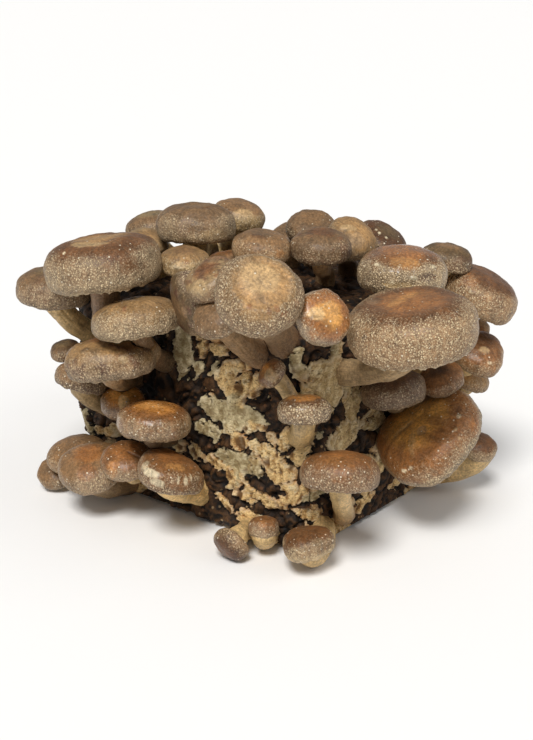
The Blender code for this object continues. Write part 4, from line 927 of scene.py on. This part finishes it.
def substrate_material():
    m, t, shader = start("substrate_crust")
    p = in_mm(t)
    plate, grey, cleft = attribute(t, "plate"), attribute(t, "grey"), attribute(t, "cleft")
    upper, grit = attribute(t, "upper"), attribute(t, "grit")
    fine = grain(t, p, 1.1, 3.0, 0.65)
    coarse = grain(t, p, 5.0, 3.0, 0.6)
    big = grain(t, p, 14.0, 2.0, 0.5)
    torn = calc(t, "ADD", plate, calc(t, "MULTIPLY_ADD", grain(t, p, 1.6, 2.0), 0.20, -0.10))
    mask = ease(t, torn, 0.0, 0.05)
    # dark skin of the sawdust: brown rind and red-brown chips, with painted shade (near black) in the clefts
    ridge = calc(t, "ADD", calc(t, "MULTIPLY", attribute(t, "wrinkle"), 0.55), calc(t, "MULTIPLY", coarse, 0.55))
    rind = blend_colour(t, ease(t, ridge, 0.55, 0.84), tuple(linear(24, 16, 9)), tuple(linear(88, 60, 34)))
    chip = cells(t, p, 2.4, feature="F1")
    pick = add(t, "ShaderNodeSeparateColor", {0: chip.outputs["Color"]})
    chance = ease(t, pick.outputs[0], 0.86, 0.90)
    rind = blend_colour(t, calc(t, "MULTIPLY", chance, ease(t, chip.outputs["Distance"], 0.5, 0.3)), rind, tuple(linear(108, 72, 44)))
    pale = calc(t, "MULTIPLY", ease(t, pick.outputs[1], 0.93, 0.96), ease(t, chip.outputs["Distance"], 0.4, 0.2))
    rind = blend_colour(t, pale, rind, tuple(linear(190, 160, 118)))
    # painted shade: the clefts turned near black
    rind = blend_colour(t, calc(t, "MULTIPLY", cleft, 0.85), rind, tuple(linear(14, 10, 8)))
    rind = blend_colour(t, ease(t, fine, 0.35, 0.65), blend_colour(t, 0.45, rind, (0.0, 0.0, 0.0)), rind)
    # pale plates of mycelium
    pleat, lip, deep_pleated = attribute(t, "pleat"), attribute(t, "lip"), attribute(t, "rough")
    # painted light and shade on the pleats: lighter on their crests and darker in their hollows, with random tone from
    # fine noise
    high = calc(t, "ADD", calc(t, "MULTIPLY", pleat, 0.6), calc(t, "MULTIPLY", fine, 0.6))
    cream = blend_colour(t, ease(t, high, 0.52, 0.88), tuple(linear(164, 120, 64)), tuple(linear(236, 202, 142)))
    cream = blend_colour(t, ease(t, coarse, 0.50, 0.72), cream, tuple(linear(240, 222, 180)))
    stain = calc(t, "MULTIPLY", ease(t, torn, 0.42, 0.04), ease(t, big, 0.30, 0.55))
    cream = blend_colour(t, calc(t, "MULTIPLY", stain, 0.75), cream, tuple(linear(176, 112, 58)))
    down = blend_colour(t, ease(t, coarse, 0.36, 0.66), tuple(linear(150, 132, 92)), tuple(linear(216, 200, 158)))
    skin_ = blend_colour(t, grey, cream, down)
    lay = add(t, "ShaderNodeVectorMath", {0: p, 1: (1.0, 1.0, 2.4)}, operation="MULTIPLY").outputs[0]
    fold = grain(t, lay, 3.2, 3.0, 0.6, 1.2)
    skin_ = blend_colour(t, calc(t, "MULTIPLY", ease(t, fold, 0.52, 0.36), 0.5), skin_, tuple(linear(112, 84, 50)))
    pin = cells(t, p, 3.4, feature="F1")
    pick2 = add(t, "ShaderNodeSeparateColor", {0: pin.outputs["Color"]})
    hole = calc(t, "MULTIPLY", ease(t, pin.outputs["Distance"], 0.16, 0.08), ease(t, pick2.outputs[0], 0.70, 0.74))
    skin_ = blend_colour(t, calc(t, "MULTIPLY", hole, 0.8), skin_, tuple(linear(70, 52, 36)))
    skin_ = blend_colour(t, calc(t, "MULTIPLY", ease(t, fine, 0.60, 0.30), 0.35), skin_, tuple(linear(130, 100, 62)))
    # painted highlight: a pale band along the plates' raised edges (lip)
    skin_ = blend_colour(t, calc(t, "MULTIPLY", lip, 0.5), skin_, tuple(linear(240, 226, 190)))
    # darker in the pleats' hollows on the cream plates, which the rough attribute marks
    skin_ = blend_colour(t, calc(t, "MULTIPLY", calc(t, "MULTIPLY", ease(t, pleat, 0.62, 0.35), deep_pleated), 0.8), skin_, tuple(linear(84, 58, 34)))
    base = blend_colour(t, mask, rind, skin_)
    gap = calc(t, "MULTIPLY", ease(t, calc(t, "ABSOLUTE", calc(t, "SUBTRACT", torn, -0.03)), 0.12, 0.03), 0.8)
    base = blend_colour(t, gap, base, tuple(linear(24, 17, 12)))
    t.links.new(base, shader.inputs["Base Color"])
    rough = calc(t, "MULTIPLY_ADD", mask, 0.10, 0.62)
    rough = calc(t, "ADD", rough, calc(t, "MULTIPLY_ADD", fine, 0.2, -0.1))
    t.links.new(rough, shader.inputs["Roughness"])
    rise = calc(t, "MULTIPLY", fine, 0.5)
    rise = calc(t, "MULTIPLY_ADD", coarse, 0.8, rise)
    rise = calc(t, "MULTIPLY", rise, calc(t, "MULTIPLY_ADD", mask, -0.55, 1.0))
    rise = calc(t, "MULTIPLY_ADD", mask, 0.5, rise)
    rise = calc(t, "MULTIPLY_ADD", hole, -0.5, rise)
    rise = calc(t, "MULTIPLY_ADD", calc(t, "MULTIPLY", fold, mask), 1.0, rise)
    bump = add(t, "ShaderNodeBump", {"Height": rise, "Strength": 1.0, "Distance": 0.001})
    t.links.new(bump.outputs["Normal"], shader.inputs["Normal"])
    shader.inputs["Specular IOR Level"].default_value = 0.25
    return m


# ---- the scene -------------------------------------------------------------------------------------------------
GLOSSY = {"left_glossy_small", "left_glossy_front", "centre_glossy", "front_ringed", "right_glossy_torn", "front_bent"}
skin_plain = mushroom_material("shiitake_skin", 0.0)
skin_wet = mushroom_material("shiitake_skin_wet", 0.3)

block = make_block()
block.data.materials.append(substrate_material())
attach(block, "root")
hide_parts("substrate_block")

plans = [plan(row) for row in MUSHROOMS]
for i, m in enumerate(plans):
    ob = make_mushroom(m, plans[:i], i + 1.0)
    wet = m["row"][0] in GLOSSY
    ob.data.materials.append(skin_wet if wet else skin_plain)
    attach(ob, "root")
    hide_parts("mushroom_" + m["row"][0])

add_stage()
add_camera()
bpy.context.scene.view_settings.view_transform = "Standard"
